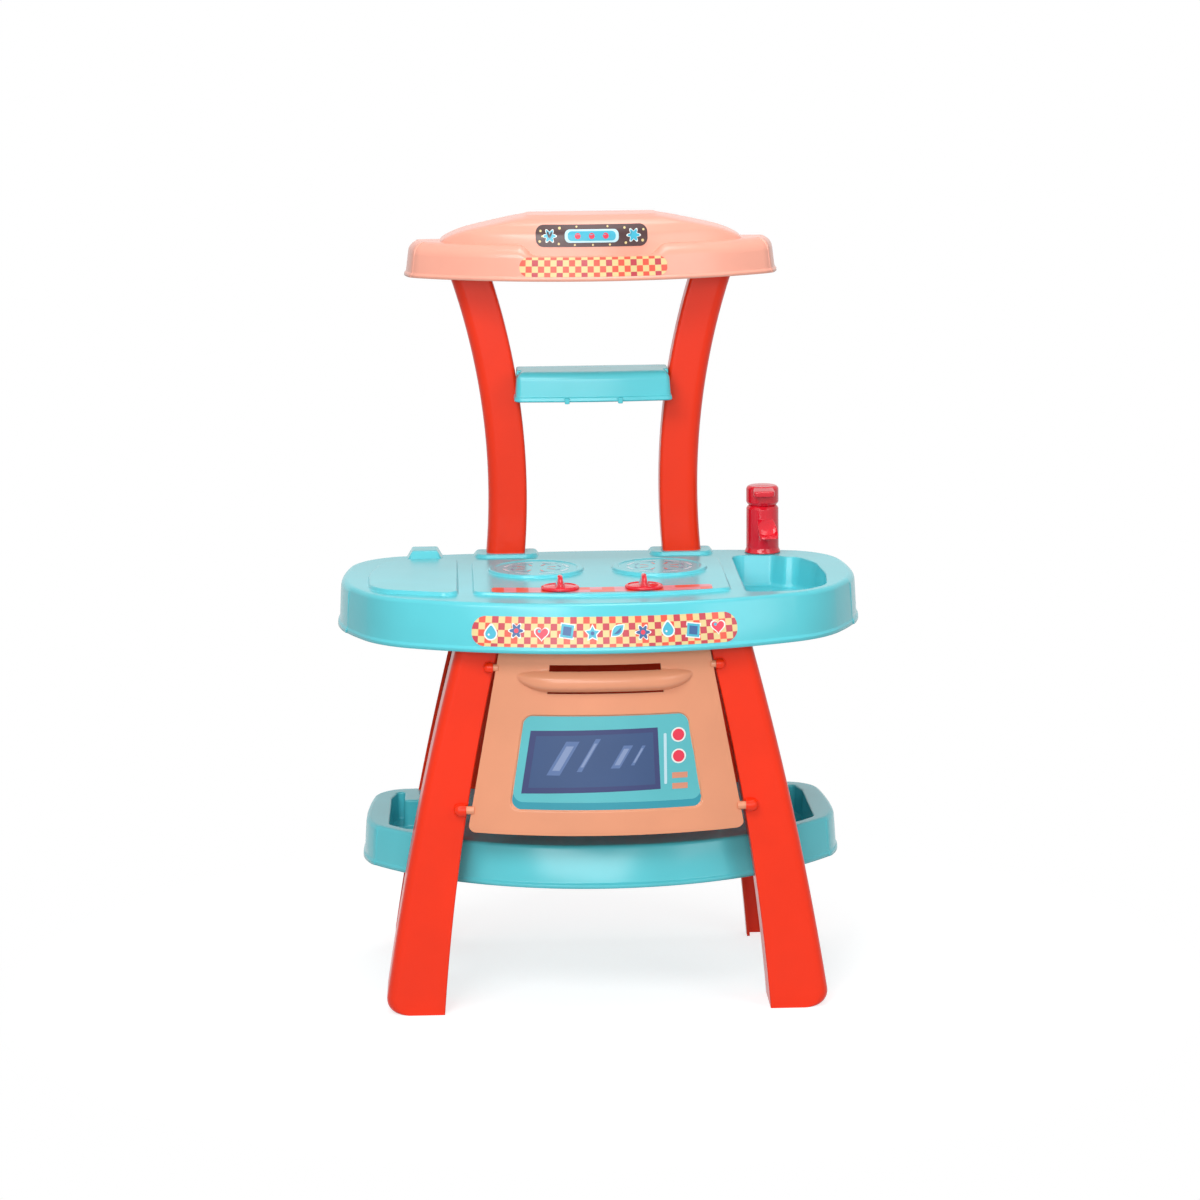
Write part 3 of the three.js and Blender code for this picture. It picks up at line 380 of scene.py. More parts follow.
def plastic(name, hex_color, rough=0.22, grain=0.02, gloss=0.5):
    """Moulded plastic: faint colour drift from flow, fine grain, slow sink waves and rubbed gloss."""
    drift, wear = 0.04, 0.012
    m = bpy.data.materials.new(name)
    m.use_nodes = True
    nt = m.node_tree
    shader = nt.nodes["Principled BSDF"]
    color = linear(hex_color)
    coords = add_node(nt, "ShaderNodeTexCoord").outputs["Object"]
    flow = add_node(nt, "ShaderNodeTexNoise", {"Scale": 14, "Detail": 3}, Vector=coords)
    ramp = add_node(nt, "ShaderNodeMapRange", {"From Min": 0.3, "From Max": 0.7}, Value=flow.outputs["Fac"])
    tint = add_node(nt, "ShaderNodeMix")
    tint.data_type = "RGBA"
    tint.inputs["A"].default_value = (*[c * (1 - drift) for c in color], 1)
    tint.inputs["B"].default_value = (*[min(c * (1 + drift), 1) for c in color], 1)
    nt.links.new(ramp.outputs["Result"], tint.inputs["Factor"])
    nt.links.new(tint.outputs["Result"], shader.inputs["Base Color"])
    rub = add_node(nt, "ShaderNodeTexNoise", {"Scale": 30, "Detail": 1, "Roughness": 0.65}, Vector=coords)
    polish = add_node(nt, "ShaderNodeMapRange", {
        "From Min": 0.3, "From Max": 0.75, "To Min": rough - wear / 2, "To Max": rough + wear,
    }, Value=rub.outputs["Fac"])
    nt.links.new(polish.outputs["Result"], shader.inputs["Roughness"])
    fine = add_node(nt, "ShaderNodeTexNoise", {"Scale": 900, "Detail": 2}, Vector=coords)
    wave = add_node(nt, "ShaderNodeTexNoise", {"Scale": 12, "Detail": 1}, Vector=coords)
    bump = add_node(nt, "ShaderNodeBump", {"Strength": grain, "Distance": 0.0001}, Height=fine.outputs["Fac"])
    sink = add_node(nt, "ShaderNodeBump", {"Strength": 0.2, "Distance": 0.00015},
                    Height=wave.outputs["Fac"], Normal=bump.outputs["Normal"])
    nt.links.new(sink.outputs["Normal"], shader.inputs["Normal"])
    shader.inputs["Specular IOR Level"].default_value = gloss
    shader.inputs["IOR"].default_value = 1.5
    return m


def ink(name, hex_color, rough=0.3):
    """Printed film: the same plastic with a finer grain."""
    return plastic("print_" + name, hex_color, rough, grain=0.015)


turquoise = plastic("turquoise", "#59cbd6", 0.22)
peach = plastic("peach", "#e99c77", 0.24, gloss=0.4)
peach_hood = plastic("peach_hood", "#f5a993", 0.24)
orange = plastic("orange_red", "#f8330c", 0.28, gloss=0.3)
crimson = plastic("crimson", "#e51a2e", 0.12)
print_cream = ink("cream", "#e6cf90")
print_coral = ink("coral", "#ee5540")
print_rose = ink("rose", "#c43a4a")
print_white = ink("white", "#f2f2ee")
print_navy = ink("navy", "#2f5f96")
print_sky = ink("sky", "#43b5cf")
print_red = ink("red", "#ec3652")
print_brown = ink("brown", "#46292a")
print_teal = ink("teal", "#5bbcc4", 0.28)
print_deep = ink("deep_teal", "#2d98ab", 0.28)
print_frame = ink("window_edge", "#333e70", 0.28)
print_window = ink("window", "#34507d", 0.28)
print_ochre = ink("ochre", "#dc9377")
print_blush = ink("blush", "#e8909a")
print_glare = ink("glare", "#5a75a6", 0.28)
print_sheen = ink("sheen", "#8598bf", 0.28)
print_pale = ink("pale", "#c3e4ee")

# ---------- worktop
COUNTER_BOW, COUNTER_FRONT = 420, -160.5
counter_half = arc_chain(COUNTER_FRONT, [
    (420, 26.3), (105, 36.7), (400, 6), (30, 4, 0.4), (190, 17), (371.7, 10), (70, 72),
])
counter = Section(
    counter_half, 69, RIM,
    centre=skirt((-1.5, 1.2, 5.4), 15.6, 6, 22, 46),
    corner=skirt((-1.5, 0.0, 5.4), 2.8, 9, 11, 46),
    end=skirt((-2.4, -0.3, 5.4), 2.0, 13, 16, 46),
    back=skirt((-1.5, 0.8, 5.4), 4.4, 6, 12, 46),
)
stove_corners = [(0, -128, 375), (126, -87, 12), (126, 94, 13), (-126, 94, 13), (-126, -87, 12)]
panel_corners = [(-141, -96, 12), (-141, 104, 12), (-216, 104, 34), (-230, 20, 120), (-228, -64, 44)]
basin_corners = [
    (140, -96, 10), (196, -92, 42), (223, -62, 45), (228, 0, 160), (224, 62, 60), (208, 97, 15),
    (195.5, 98, 5), (184, 112, 12), (140, 112, 14),
]


def raised(skin, corners, path, steps=10):
    """Rings of a raised or sunk feature; path is (inset, z). Gives its base and last rings."""
    rings = skin.loft([[(x, y, z) for x, y in fillet(corners, True, steps, inset)] for inset, z in path])
    return rings[0], rings[-1]


def step_path(rise):
    """Small rounded step up from the worktop, as (inset, z)."""
    return fillet([(-2.4, TOP, 0), (-0.6, TOP, 1.2), (0.9, TOP + rise, 1.6), (4, TOP + rise, 0)], steps=5)


def worktop():
    skin = Skin()
    outer = skin.loft(counter.rings())[-1]
    stove_base, stove_top = raised(skin, stove_corners, step_path(STOVE_RISE))
    side_base, side_top = raised(skin, panel_corners, step_path(PANEL_RISE))
    skin.fill(side_top)
    well = fillet([
        (-1.6, TOP, 0), (0.6, TOP, 1.6), (5.6, BASIN_FLOOR, 6.5), (9.6, BASIN_FLOOR, 0),
    ], steps=9)
    basin_base, basin_floor = raised(skin, basin_corners, well)
    skin.fill(basin_floor)
    low = TOP + STOVE_RISE
    high = low + BURNER_RISE
    disc = fillet([
        (50.5, low, 0), (48.4, low, 1.2), (47.4, high, 1.6), (42, high, 1.5),
        (40.5, low + LABEL_SINK, 1), (36, low + LABEL_SINK, 0),
    ], steps=4)
    burners = []
    for x in (-BURNER_X, BURNER_X):
        rings = skin.loft(round_rings(disc, lambda c, s, z: (x + c, BURNER_Y + s, z)))
        skin.fill(rings[-1])
        burners.append(rings[0])
    skin.fill(stove_top, burners)
    skin.fill(outer, [stove_base, side_base, basin_base])
    return skin


def flipped(path):
    """(z, inset) levels from an (inset, z) path."""
    return [(z, inset) for inset, z in path]


build("worktop_moulding", worktop(), turquoise, up=UP, wall=WALL, replaces=["countertop"])

collar_top = TOP + 3.4
collar_levels = flipped(fillet([
    (-2.4, TOP - 2, 0), (-1.2, TOP, 1.5), (1.6, collar_top, 2.2), (5, collar_top, 0),
], steps=5))
for side, sign, _ in reversed(SIDES):
    x0, x1 = sorted((58 * sign, 122 * sign))
    outline = [(x0, 119, 13), (x1, 119, 13), (x1, 157.5, 6), (x0, 157.5, 6)]
    build(f"post_collar_{side}", stack(outline, collar_levels), turquoise)
lug = [(-191, 109, 4), (-157, 109, 4), (-157, 145, 4), (-191, 145, 4)]
lug_top = TOP + 10
lug_levels = flipped(fillet([(-4, TOP - 3, 0), (-1.5, TOP, 2), (4.4, lug_top, 3), (9, lug_top, 0)], steps=6))
build("worktop_lug", stack(lug, lug_levels), turquoise)

# ---------- lower tray
tray_half = arc_chain(-132, [(288.6, 52), (26, 16, 0.5), (110, 22), (620, 8), (38, 79)])
tray = Section(
    tray_half, 52, TRAY_RIM,
    centre=skirt((-1.5, 1.2, 5.2), 12.8, 5, 18, 40),
    corner=skirt((-1.5, 0.0, 5.2), 3.0, 6, 9.5, 40),
    end=skirt((-2.1, -0.3, 5.2), 2.0, 9, 11.5, 40),
    back=skirt((-1.5, 0.8, 5.2), 3.2, 6, 12, 40),
)
pocket_corners = [
    (150, -56, 8), (196, -34, 12), (214, -14, 14), (213, 100, 12), (207, 124, 4), (199, 124, 4), (199, 88, 4),
    (150, 88, 8),
]


def tray_skin():
    skin = Skin()
    outer = skin.loft(tray.rings())[-1]
    floor_z = TRAY_TOP - POCKET_DEPTH
    well = fillet([(-2.4, TRAY_TOP, 0), (0.3, TRAY_TOP, 2), (1.4, floor_z, 2.2), (3.3, floor_z, 0)], steps=7)
    holes = []
    for sign in (1, -1):
        corners = [(x * sign, y, r) for x, y, r in pocket_corners][::sign]
        base, floor = raised(skin, corners, well, 7)
        skin.fill(floor)
        holes.append(base)
    skin.fill(outer, holes)
    return skin


build("tray_moulding", tray_skin(), turquoise, up=UP, wall=WALL, replaces=["lower_tray"])


# ---------- legs
def leg_inner(z):
    return 160.5 - 0.077 * z - 2.24e-4 * z * z


def leg_outer(z):
    return 220 - 0.15 * z - 1.6e-4 * z * z


def leg_front(z):
    return -129.5 + 0.025 * z


def leg_skin(depth, shift):
    """Right front leg, moved by shift along X."""
    skin = Skin()
    bend = [FOOT_RADIUS * (1 - math.cos(rad(90) * k / 12)) for k in range(13)]
    rings = []
    for z in bend + spread(26, 398.7, 40):
        z = max(z, 0.1)
        rise = max(FOOT_RADIUS - z, 0)
        outer = leg_outer(z) - FOOT_RADIUS + math.sqrt(max(FOOT_RADIUS * FOOT_RADIUS - rise ** 2, 0))
        front, back = leg_front(z), leg_front(z) + depth
        path = fillet([
            (leg_inner(z), back, 0), (leg_inner(z), front, 1.6), (outer, front, 10), (outer, back, 0),
        ], steps=10)
        rings.append([(x + shift, y, z) for x, y in path])
    skin.loft(rings, closed=False)
    return skin


def leg_rib(z, depth, shift):
    front, back = leg_front(z) + 1, leg_front(z) + depth - 2
    inner, outer = leg_inner(z) + 1 + shift, leg_outer(z) - 1 + shift
    corners = [(inner, front, 0), (outer, front, 9), (outer, back, 0), (inner, back, 0)]
    return stack(corners, [(z - 2.5, 0), (z, 0)])


# Rows of legs: place, depth, shift of each side, flip. The left rear leg stands further in than the right
# one, so that it hides behind the front leg as in the photo.
LEG_ROWS = (("front", 57, {"right": 0, "left": 0}, ""), ("rear", 18, {"right": -3, "left": -5.5}, "y"))
for place, depth, shifts, flip_back in LEG_ROWS:
    for side, _, flip in SIDES:
        turn = (flip or "") + flip_back or None
        shift = shifts[side]
        leg = f"leg_{place}_{side}"
        shape = leg_skin(depth, shift)
        build(f"{leg}_channel", shape, orange, flip=turn, wall=LEG_WALL, bevel=0.5, replaces=[leg])
        for k, z in enumerate(RIB_LEVELS):
            build(f"{leg}_rib_{k}", leg_rib(z, depth, shift), orange, flip=turn, bevel=0.3)

boss_x = leg_inner(PIVOT_Z) + 1.5
catch_x = leg_inner(CATCH_Z) + 1.5
catch_y = leg_front(CATCH_Z) - 4.2
pivot_dome = fillet([
    (4.4, boss_x + 8, 0), (4.4, boss_x, 0.5), (5.9, boss_x, 1.2),
    (6.1, boss_x + 12, 5.6), (0, boss_x + 12, 0),
], steps=9)
catch_dome = fillet([
    (3.8, catch_x + 7, 0), (3.8, catch_x, 0.5), (5.2, catch_x, 1.0),
    (5.2, catch_x + 9, 4.6), (0, catch_x + 9, 0),
], steps=8)
for side, _, flip in SIDES:
    build(f"pivot_boss_{side}", lathe_x(pivot_dome, PIVOT_Y, PIVOT_Z), orange, flip=flip)
    build(f"door_catch_{side}", lathe_x(catch_dome, catch_y, CATCH_Z), orange, flip=flip)


# ---------- posts
def post_edge(radius, z):
    return 806 - math.sqrt(radius * radius - (z - 480) ** 2)


def post_skin():
    skin = Skin()
    rings = []
    back = POST_FRONT + POST_DEPTH
    for z in spread(POST_LOW, POST_HIGH, 60):
        inner, outer = post_edge(POST_INNER, z), post_edge(POST_OUTER, z)
        path = fillet([
            (inner, back, 0), (inner, POST_FRONT, 1.2), (outer, POST_FRONT, 8), (outer, back, 0),
        ], steps=9)
        rings.append([(x, y, z) for x, y in path])
    skin.loft(rings, closed=False)
    return skin


for side, _, flip in SIDES:
    post = f"post_{side}"
    build(f"{post}_channel", post_skin(), orange, flip=flip, wall=LEG_WALL, bevel=0.5, replaces=[post])

# ---------- hood
HOOD_BOW, HOOD_FRONT = 300, 46
BAND, BAND_DIP = 35, 11
hood_half = arc_chain(HOOD_FRONT, [
    (HOOD_BOW, 35.6, 1.4), (24, 22.4, 0.6), (24, 15, 0.6), (100, 15), (16, 90),
], chord=5)
HOOD_BACK = hood_half[-1][1]
hood_band = Section(
    hood_half, 58, HOOD_RIM,
    centre=[(-1.5, 0, 0), (-1.3, 2.6, 0.8), (0.6, 4.6, 1.4), (6.2, BAND, 16), (24, BAND, 0)],
    corner=[(-1.5, 0, 0), (-1.3, 2.6, 0.8), (0.3, 4.6, 1.4), (4.4, BAND, 15), (20, BAND, 0)],
    end=[(-2.2, 0, 0), (-1.9, 2.6, 0.8), (-0.2, 4.6, 1.4), (3.8, BAND, 14), (15, BAND, 0)],
    back=[(-0.7, 0, 0), (-0.7, 2.6, 0.4), (0, 4.6, 0.8), (1.0, BAND, 7), (12, BAND, 0)],
)


def hood_bow(x):
    return HOOD_FRONT + HOOD_BOW - math.sqrt(max(HOOD_BOW * HOOD_BOW - x * x, 0))


def band_skin():
    """Band of the hood, lower in the middle of its front, where the badge's seat comes down."""
    lowered = []
    for ring in hood_band.rings():
        points = []
        for x, y, z in ring:
            w = 1 - ease(abs(x), 57, 73) if y < 100 else 0
            height = z - HOOD_RIM
            drop = lerp(height, height * (BAND - BAND_DIP) / BAND if height > 5 else height, w)
            points.append((x, y + (w * max(height - 28, 0) * 0.35), HOOD_RIM + drop))
        lowered.append(points)
    return capped(lowered, bottom=False)


# Dome levels: height over the hood's rim, half width, set-back of the front and of the back.
DOME = [
    (8, 154, 15, 4), (36, 153, 20.5, 4), (40, 147, 21.5, 4), (45, 136, 23, 4.5), (48.5, 125, 25.5, 5),
    (54.5, 98.5, 30, 8), (59.5, 77, 37, 13), (61.5, 66, 44, 19), (62.5, 54, 54, 26),
]


def dome_at(height):
    for (h0, *a), (h1, *b) in zip(DOME, DOME[1:]):
        if h0 <= height <= h1:
            return mix(a, b, (height - h0) / (h1 - h0))
    return tuple(DOME[-1][1:])


def smooth_dome():
    """Levels of the dome with its corners eased by averaging over neighbours."""
    low, high, samples, levels = DOME[0][0], DOME[-1][0], 400, 46
    fine = [dome_at(h) for h in spread(low, high, samples)]
    out = []
    for k in range(levels):
        h = lerp(low, high, 1 - (1 - k / (levels - 1)) ** 1.6)
        i = round((h - low) / (high - low) * (samples - 1))
        near = fine[max(i - 14, 0):min(i + 15, samples)]
        if k in (0, levels - 1):
            near = [fine[i]]
        out.append((h, *[sum(v[j] for v in near) / len(near) for j in range(3)]))
    return out


def dome_skin():
    rings = []
    for h, half, front, back in smooth_dome():
        corner = max(4, min(16, half * 0.3))
        alpha = math.asin((half - corner) / (HOOD_BOW - corner))
        points = []
        for k in range(41):
            g = alpha * k / 40
            points.append((HOOD_BOW * math.sin(g), HOOD_FRONT + front + HOOD_BOW * (1 - math.cos(g))))
        x, y = points[-1]
        for k in range(1, 9):
            g = lerp(alpha, math.pi / 2, k / 8)
            points.append((
                x + corner * (math.sin(g) - math.sin(alpha)),
                y + corner * (math.cos(alpha) - math.cos(g)),
            ))
        x, y = points[-1]
        rear = max(HOOD_BACK - back, y + 4.1)
        for k in range(7):
            g = math.pi / 2 + math.pi / 2 * k / 6
            points.append((x - 4 + 4 * math.sin(g), rear - 4 - 4 * math.cos(g)))
        points.append((0, rear))
        rings.append(whole([(px, py, HOOD_RIM + h) for px, py in points]))
    return capped(rings, bottom=False)


build("hood_band", band_skin(), peach_hood, up=UP, wall=WALL, replaces=["hood"])
build("hood_dome", dome_skin(), peach_hood, up=UP, wall=WALL)

# ---------- shelf
shelf_corners = [(0, 87, 460), (80.3, 94, 8), (80.3, 129.2, 1), (-80.3, 129.2, 1), (-80.3, 94, 8)]
shelf_path = fillet([
    (0.6, SHELF_LOW, 0), (-0.2, SHELF_LOW + 1.2, 0.8), (0.2, SHELF_LOW + 4.2, 1), (1.4, SHELF_LOW + 5.4, 1),
    (3.0, SHELF_TOP, 9), (14, SHELF_TOP, 0),
], steps=8)
skin = stack(shelf_corners, flipped(shelf_path), 10, bottom=False)
build("shelf_moulding", skin, turquoise, up=UP, wall=WALL, replaces=["shelf"])
half = post_edge(POST_INNER, SHELF_LOW) - 0.3
bridge_corners = [(-half, 118, 0), (half, 118, 0), (half, 153.5, 3), (-half, 153.5, 3)]
bridge_top = SHELF_TOP - 0.4
bridge_levels = flipped(fillet([(0, SHELF_LOW + 2, 0), (0, bridge_top, 1.5), (5, bridge_top, 0)], steps=4))
skin = stack(bridge_corners, bridge_levels, bottom=False)
build("shelf_bridge", skin, turquoise, up=UP, wall=WALL)
tab_levels = [(574.6, 0.8), (575.2, 0), (580, 0), (580.6, 0.8)]
for side, x in (("left", -27), ("right", 27)):
    tab = [(x - 2.5, 85.2, 1), (x + 2.5, 85.2, 1), (x + 2.5, 91, 1), (x - 2.5, 91, 1)]
    build(f"shelf_tab_{side}", stack(tab, tab_levels, 4), turquoise)

# ---------- oven door
DOOR_BODY = "door"
DOOR_BOW = 360
DOOR_CORNER = 7
HANDLE_TOP, HANDLE_DEEP, HANDLE_OUT = 345.4, 21, 11
HANDLE_LEVEL, HANDLE_END = 50, 35
RECESS_LOW, RECESS_HIGH, RECESS_DEEP = 209, 302, 2.0
SLOT_HALF = 54
OPEN_BANDS = ((345, 351), (323, 325))  # finger slot, and the slit under the handle


def door_side(z):
    return min(131.3 - 0.185 * (z - PIVOT_Z), leg_inner(PIVOT_Z) - 0.6)


def door_half(z):
    low = max(DOOR_CORNER - (z - DOOR_LOW), 0)
    return door_side(z) - DOOR_CORNER + math.sqrt(max(DOOR_CORNER ** 2 - low * low, 0))


def door_arc(x, z):
    """Front of the bowed door without its handle and label seat."""
    half = door_side(z)
    return leg_front(z) - 5.2 - math.sqrt(DOOR_BOW ** 2 - x * x) + math.sqrt(DOOR_BOW ** 2 - half * half)


def bulge(x, z):
    """Boat-shaped handle under the finger slot: level above, rounded up to its ends below."""
    past = min(max(abs(x) - HANDLE_LEVEL, 0) / HANDLE_END, 1)
    along = math.sqrt(1 - past * past)
    high = HANDLE_TOP - 5 * (1 - along)
    low = high - HANDLE_DEEP * along
    if along <= 0 or not low < z < high:
        return 0
    t = (z - low) / (high - low)
    return HANDLE_OUT * along ** 1.6 * (1 - abs(2 * t - 1) ** 3)


def recess_depth(x, z):
    """Smooth step into the label seat."""
    side = 79.5 + (94.5 - 79.5) * (RECESS_HIGH - z) / (RECESS_HIGH - RECESS_LOW)
    radius = 10
    qx = abs(x) - side + radius
    qz = max(RECESS_LOW - z, z - RECESS_HIGH) + radius
    gap = math.hypot(max(qx, 0), max(qz, 0)) + min(max(qx, qz), 0) - radius
    return RECESS_DEEP * (1 - ease(gap, -1.0, 0.9))


def door_front(x, z):
    return door_arc(x, z) - bulge(x, z) + recess_depth(x, z)


def door_skin():
    """Grid of the door's front, finer where it turns, open at the finger slot and under the handle."""
    skin = Skin()
    rows = [DOOR_LOW + DOOR_CORNER * t for t in (0, 0.02, 0.06, 0.13, 0.23, 0.36, 0.52, 0.7, 1)]
    rows += spread(193.2, 206, 11) + spread(207, 213, 12) + spread(214.2, 296, 55) + spread(297, 304.4, 13)
    rows += spread(306, 321.6, 12) + spread(323, 325, 3) + spread(325.6, 345, 26) + spread(346, 351, 5)
    rows += spread(352.2, DOOR_HIGH, 9)
    slot_u = SLOT_HALF / door_half(348)
    us = sorted({-slot_u, slot_u} | {round(v, 6) for v in spread(-1, 1, 211)})
    grid = []
    for z in rows:
        grid.append(skin.ring([(u * door_half(z), door_front(u * door_half(z), z), z) for u in us]))
    for r in range(len(rows) - 1):
        middle = (rows[r] + rows[r + 1]) / 2
        for c in range(len(us) - 1):
            inside = abs((us[c] + us[c + 1]) / 2) < slot_u
            if inside and any(low < middle < high for low, high in OPEN_BANDS):
                continue
            a, b = grid[r], grid[r + 1]
            skin.faces.append((a[c], a[c + 1], b[c + 1], b[c]))
    return skin


build("door_moulding", door_skin(), peach, DOOR_BODY, up=FRONT, wall=WALL, bevel=0.7, replaces=["oven_door"])
for k, z in enumerate((197, 312)):
    half = door_side(z) - 14
    rings = []
    for x in spread(-half, half, 41):
        y = door_arc(x, z)
        rings.append([(x, y + 2, z), (x, y + 9, z), (x, y + 9, z + 2.5), (x, y + 2, z + 2.5)])
    build(f"door_rib_{k}", capped(rings), peach, DOOR_BODY)
pins = (
    ("pivot", 4, door_side(PIVOT_Z) - 2.5, boss_x + PIN_REACH, PIVOT_Y, PIVOT_Z),
    ("catch", 3.5, door_side(CATCH_Z) - 2, catch_x + PIN_REACH, catch_y, CATCH_Z),
)
for side, _, flip in SIDES:
    for kind, radius, start, end, y, z in pins:
        pin = fillet([(radius, start, 0), (radius, end, 1), (0, end, 0)], steps=4)
        build(f"door_{kind}_pin_{side}", lathe_x([(0, start)] + pin, y, z), peach, DOOR_BODY, flip=flip)


# ---------- knobs
def knob_skins(x):
    """Round skirt of a knob, and the grip fin across it."""
    base = TOP + STOVE_RISE + 0.3
    top = base + 3
    disc = fillet([
        (4, 404, 0), (4, base, 0.3), (18.3, base, 0.8), (18.7, base + 0.8, 0.5), (18.7, top - 0.6, 0.9),
        (16.6, top + 0.4, 0.9), (14.4, top - 0.5, 1.5), (6, top + 0.6, 4), (0, top + 1.0, 0),
    ], steps=4)
    rings = []
    for y in [-1, -0.985, -0.94, -0.86] + spread(-0.76, 0.76, 17) + [0.86, 0.94, 0.985, 1]:
        crest = base + 5.2 + 8.6 * (1 - abs(y) ** 2.4) ** 0.6
        foot = 4.6 * (1 - abs(y) ** 6) ** 0.5 + 0.35
        waist = 2.5 * (1 - abs(y) ** 6) ** 0.5 + 0.25
        z0 = base + 1.5
        side = [
            (foot + 1.3, z0), (foot, z0 + 2.2),
            (waist + 0.7, lerp(z0 + 2.2, crest, 0.3)), (waist, lerp(z0 + 2.2, crest, 0.6)),
            (waist * 0.86, crest - 1.1), (waist * 0.5, crest - 0.3), (0, crest),
        ]
        points = [(px, pz) for px, pz in side] + [(-px, pz) for px, pz in reversed(side[:-1])]
        rings.append([(x + px, KNOB_Y + y * FIN_HALF, pz) for px, pz in points])
    return lathe(disc, x, KNOB_Y), capped(rings)


for side, sign, _ in SIDES:
    disc, fin = knob_skins(KNOB_X * sign)
    build(f"knob_{side}_disc", disc, crimson, f"{side}_knob", replaces=[f"knob_{side}"])
    build(f"knob_{side}_fin", fin, crimson, f"{side}_knob")


# ---------- tap
def turned(skin, degrees):
    """Skin turned about the tap's axis."""
    c, s = math.cos(rad(degrees)), math.sin(rad(degrees))
    skin.verts = [
        (TAP_X + (x - TAP_X) * c - (y - TAP_Y) * s, TAP_Y + (x - TAP_X) * s + (y - TAP_Y) * c, z)
        for x, y, z in skin.verts
    ]
    return skin


def rounded_box_ring(y, cz, half_w, half_h, power, tilt=0, count=40):
    """Superellipse ring in a plane across the spout, tilted about X."""
    ring = []
    for k in range(count):
        a = 2 * math.pi * k / count
        u = math.copysign(abs(math.cos(a)) ** (2 / power), math.cos(a)) * half_w
        v = math.copysign(abs(math.sin(a)) ** (2 / power), math.sin(a)) * half_h
        ring.append((TAP_X + u, y - v * math.sin(tilt), cz + v * math.cos(tilt)))
    return ring


base, neck = TOP + 0.3, 461.3
body_path = fillet([
    (8, 404, 0), (8, base, 0.2), (18.5, base, 0.5), (18.1, base + 1.6, 1.2), (16.8, base + 4.5, 5),
    (16.6, neck - 3.2, 1.2),
    (15.3, neck - 1.0, 0.8), (14.1, neck, 0.4), (5, neck, 0.2), (5, neck - 8, 0),
], steps=5)
build("tap_column", lathe(body_path, TAP_X, TAP_Y), crimson, "tap", replaces=["tap_body"])
rings = []
for t in spread(0, 1, 26):
    angle = rad(84) * t
    y = TAP_Y - 9 - 21 * math.sin(angle)
    z = 430.0 + 13 * math.cos(angle)
    swell = math.sqrt(1 - (1 - min(t / 0.5, 1)) ** 2)
    wide = lerp(5.5, 9.8, swell)
    rings.append(rounded_box_ring(y, z, wide, lerp(11.5, 5.6, t), lerp(2.0, 3.2, t), -angle * 0.98))
build("tap_spout", turned(capped(rings), 8), crimson, "tap")

cap_base, cap_top = neck + 0.3, neck + 20.3
cap_path = fillet([
    (4.4, cap_base - 6, 0), (4.4, cap_base, 0.2), (14.1, cap_base, 0.4), (15.3, cap_base + 1, 0.8),
    (16.7, cap_base + 3.2, 1.2), (16.7, cap_top, 4.2), (0, cap_top + 0.2, 0),
], steps=7)
build("tap_cap", lathe(cap_path, TAP_X, TAP_Y), crimson, "lever", replaces=["tap_lever"])
rings = []
for t, close in (
    (0, 1), (0.3, 1), (0.6, 1), (0.8, 1), (0.9, 0.97), (0.96, 0.9), (0.99, 0.8), (1.0, 0.62),
):
    y = TAP_Y - 4 - 25.6 * t
    mid = lerp(cap_top - 4.0, cap_top - 5.6, t)
    wide, tall = 11 * (0.96 + 0.04 * t) * close, lerp(4.4, 3.1, t) * close
    rings.append(rounded_box_ring(y, mid, wide, tall, 5, count=48))
build("tap_lever_beak", capped(rings), crimson, "lever")

# ---------- oven back panel: CAD shape, own finish
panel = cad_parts["oven_back_panel"]
panel.data.materials.clear()
panel.data.materials.append(orange)


# ---------- printed films
def clip(poly, window):
    """Polygon clipped to a convex, anticlockwise window."""
    out = list(poly)
    for (ax, ay), (bx, by) in zip(window, window[1:] + window[:1]):
        def depth(p):
            return (bx - ax) * (p[1] - ay) - (by - ay) * (p[0] - ax)
        src, out = out, []
        for p, q in zip(src, src[1:] + src[:1]):
            at_p, at_q = depth(p), depth(q)
            if at_p >= -1e-9:
                out.append(p)
            if (at_p >= -1e-9) != (at_q >= -1e-9):
                t = at_p / (at_p - at_q)
                out.append((p[0] + (q[0] - p[0]) * t, p[1] + (q[1] - p[1]) * t))
        if not out:
            return []
    return out


def rect(u0, u1, v0, v1):
    return [(u0, v0), (u1, v0), (u1, v1), (u0, v1)]


def rounded(corners, steps=8):
    return fillet(corners, True, steps)


def pill(u0, u1, v0, v1, radius=None, steps=10):
    r = (v1 - v0) / 2 - 0.01 if radius is None else radius
    return rounded([(u0, v0, r), (u1, v0, r), (u1, v1, r), (u0, v1, r)], steps)


def circle(u, v, r, count):
    angles = [2 * math.pi * k / count for k in range(count)]
    return [(u + r * math.cos(a), v + r * math.sin(a)) for a in angles]


def star(u, v, r, inner):
    out = []
    for k in range(10):
        a = rad(90) + math.pi * k / 5
        q = r if k % 2 == 0 else r * inner
        out.append((u + q * math.cos(a), v + q * math.sin(a)))
    return out


def heart(u, v, s):
    out = []
    for k in range(32):
        t = 2 * math.pi * k / 32
        high = 13 * math.cos(t) - 5 * math.cos(2 * t) - 2 * math.cos(3 * t) - math.cos(4 * t)
        out.append((u + s * math.sin(t) ** 3, v + s * high / 16))
    return out[::-1]


def leaf(u, v, s):
    out = []
    c, w = math.cos(rad(40)), math.sin(rad(40))
    for side in (1, -1):
        for k in range(12):
            t = k / 12 if side > 0 else 1 - k / 12
            a, b = (2 * t - 1) * s, -side * 0.55 * s * math.sin(math.pi * t)
            out.append((u + a * c - b * w, v + a * w + b * c))
    return out


def flower(u, v, r):
    out = []
    for k in range(60):
        a = 2 * math.pi * k / 60
        q = r * (0.78 + 0.22 * math.cos(6 * a))
        out.append((u + q * math.cos(a), v + q * math.sin(a)))
    return out


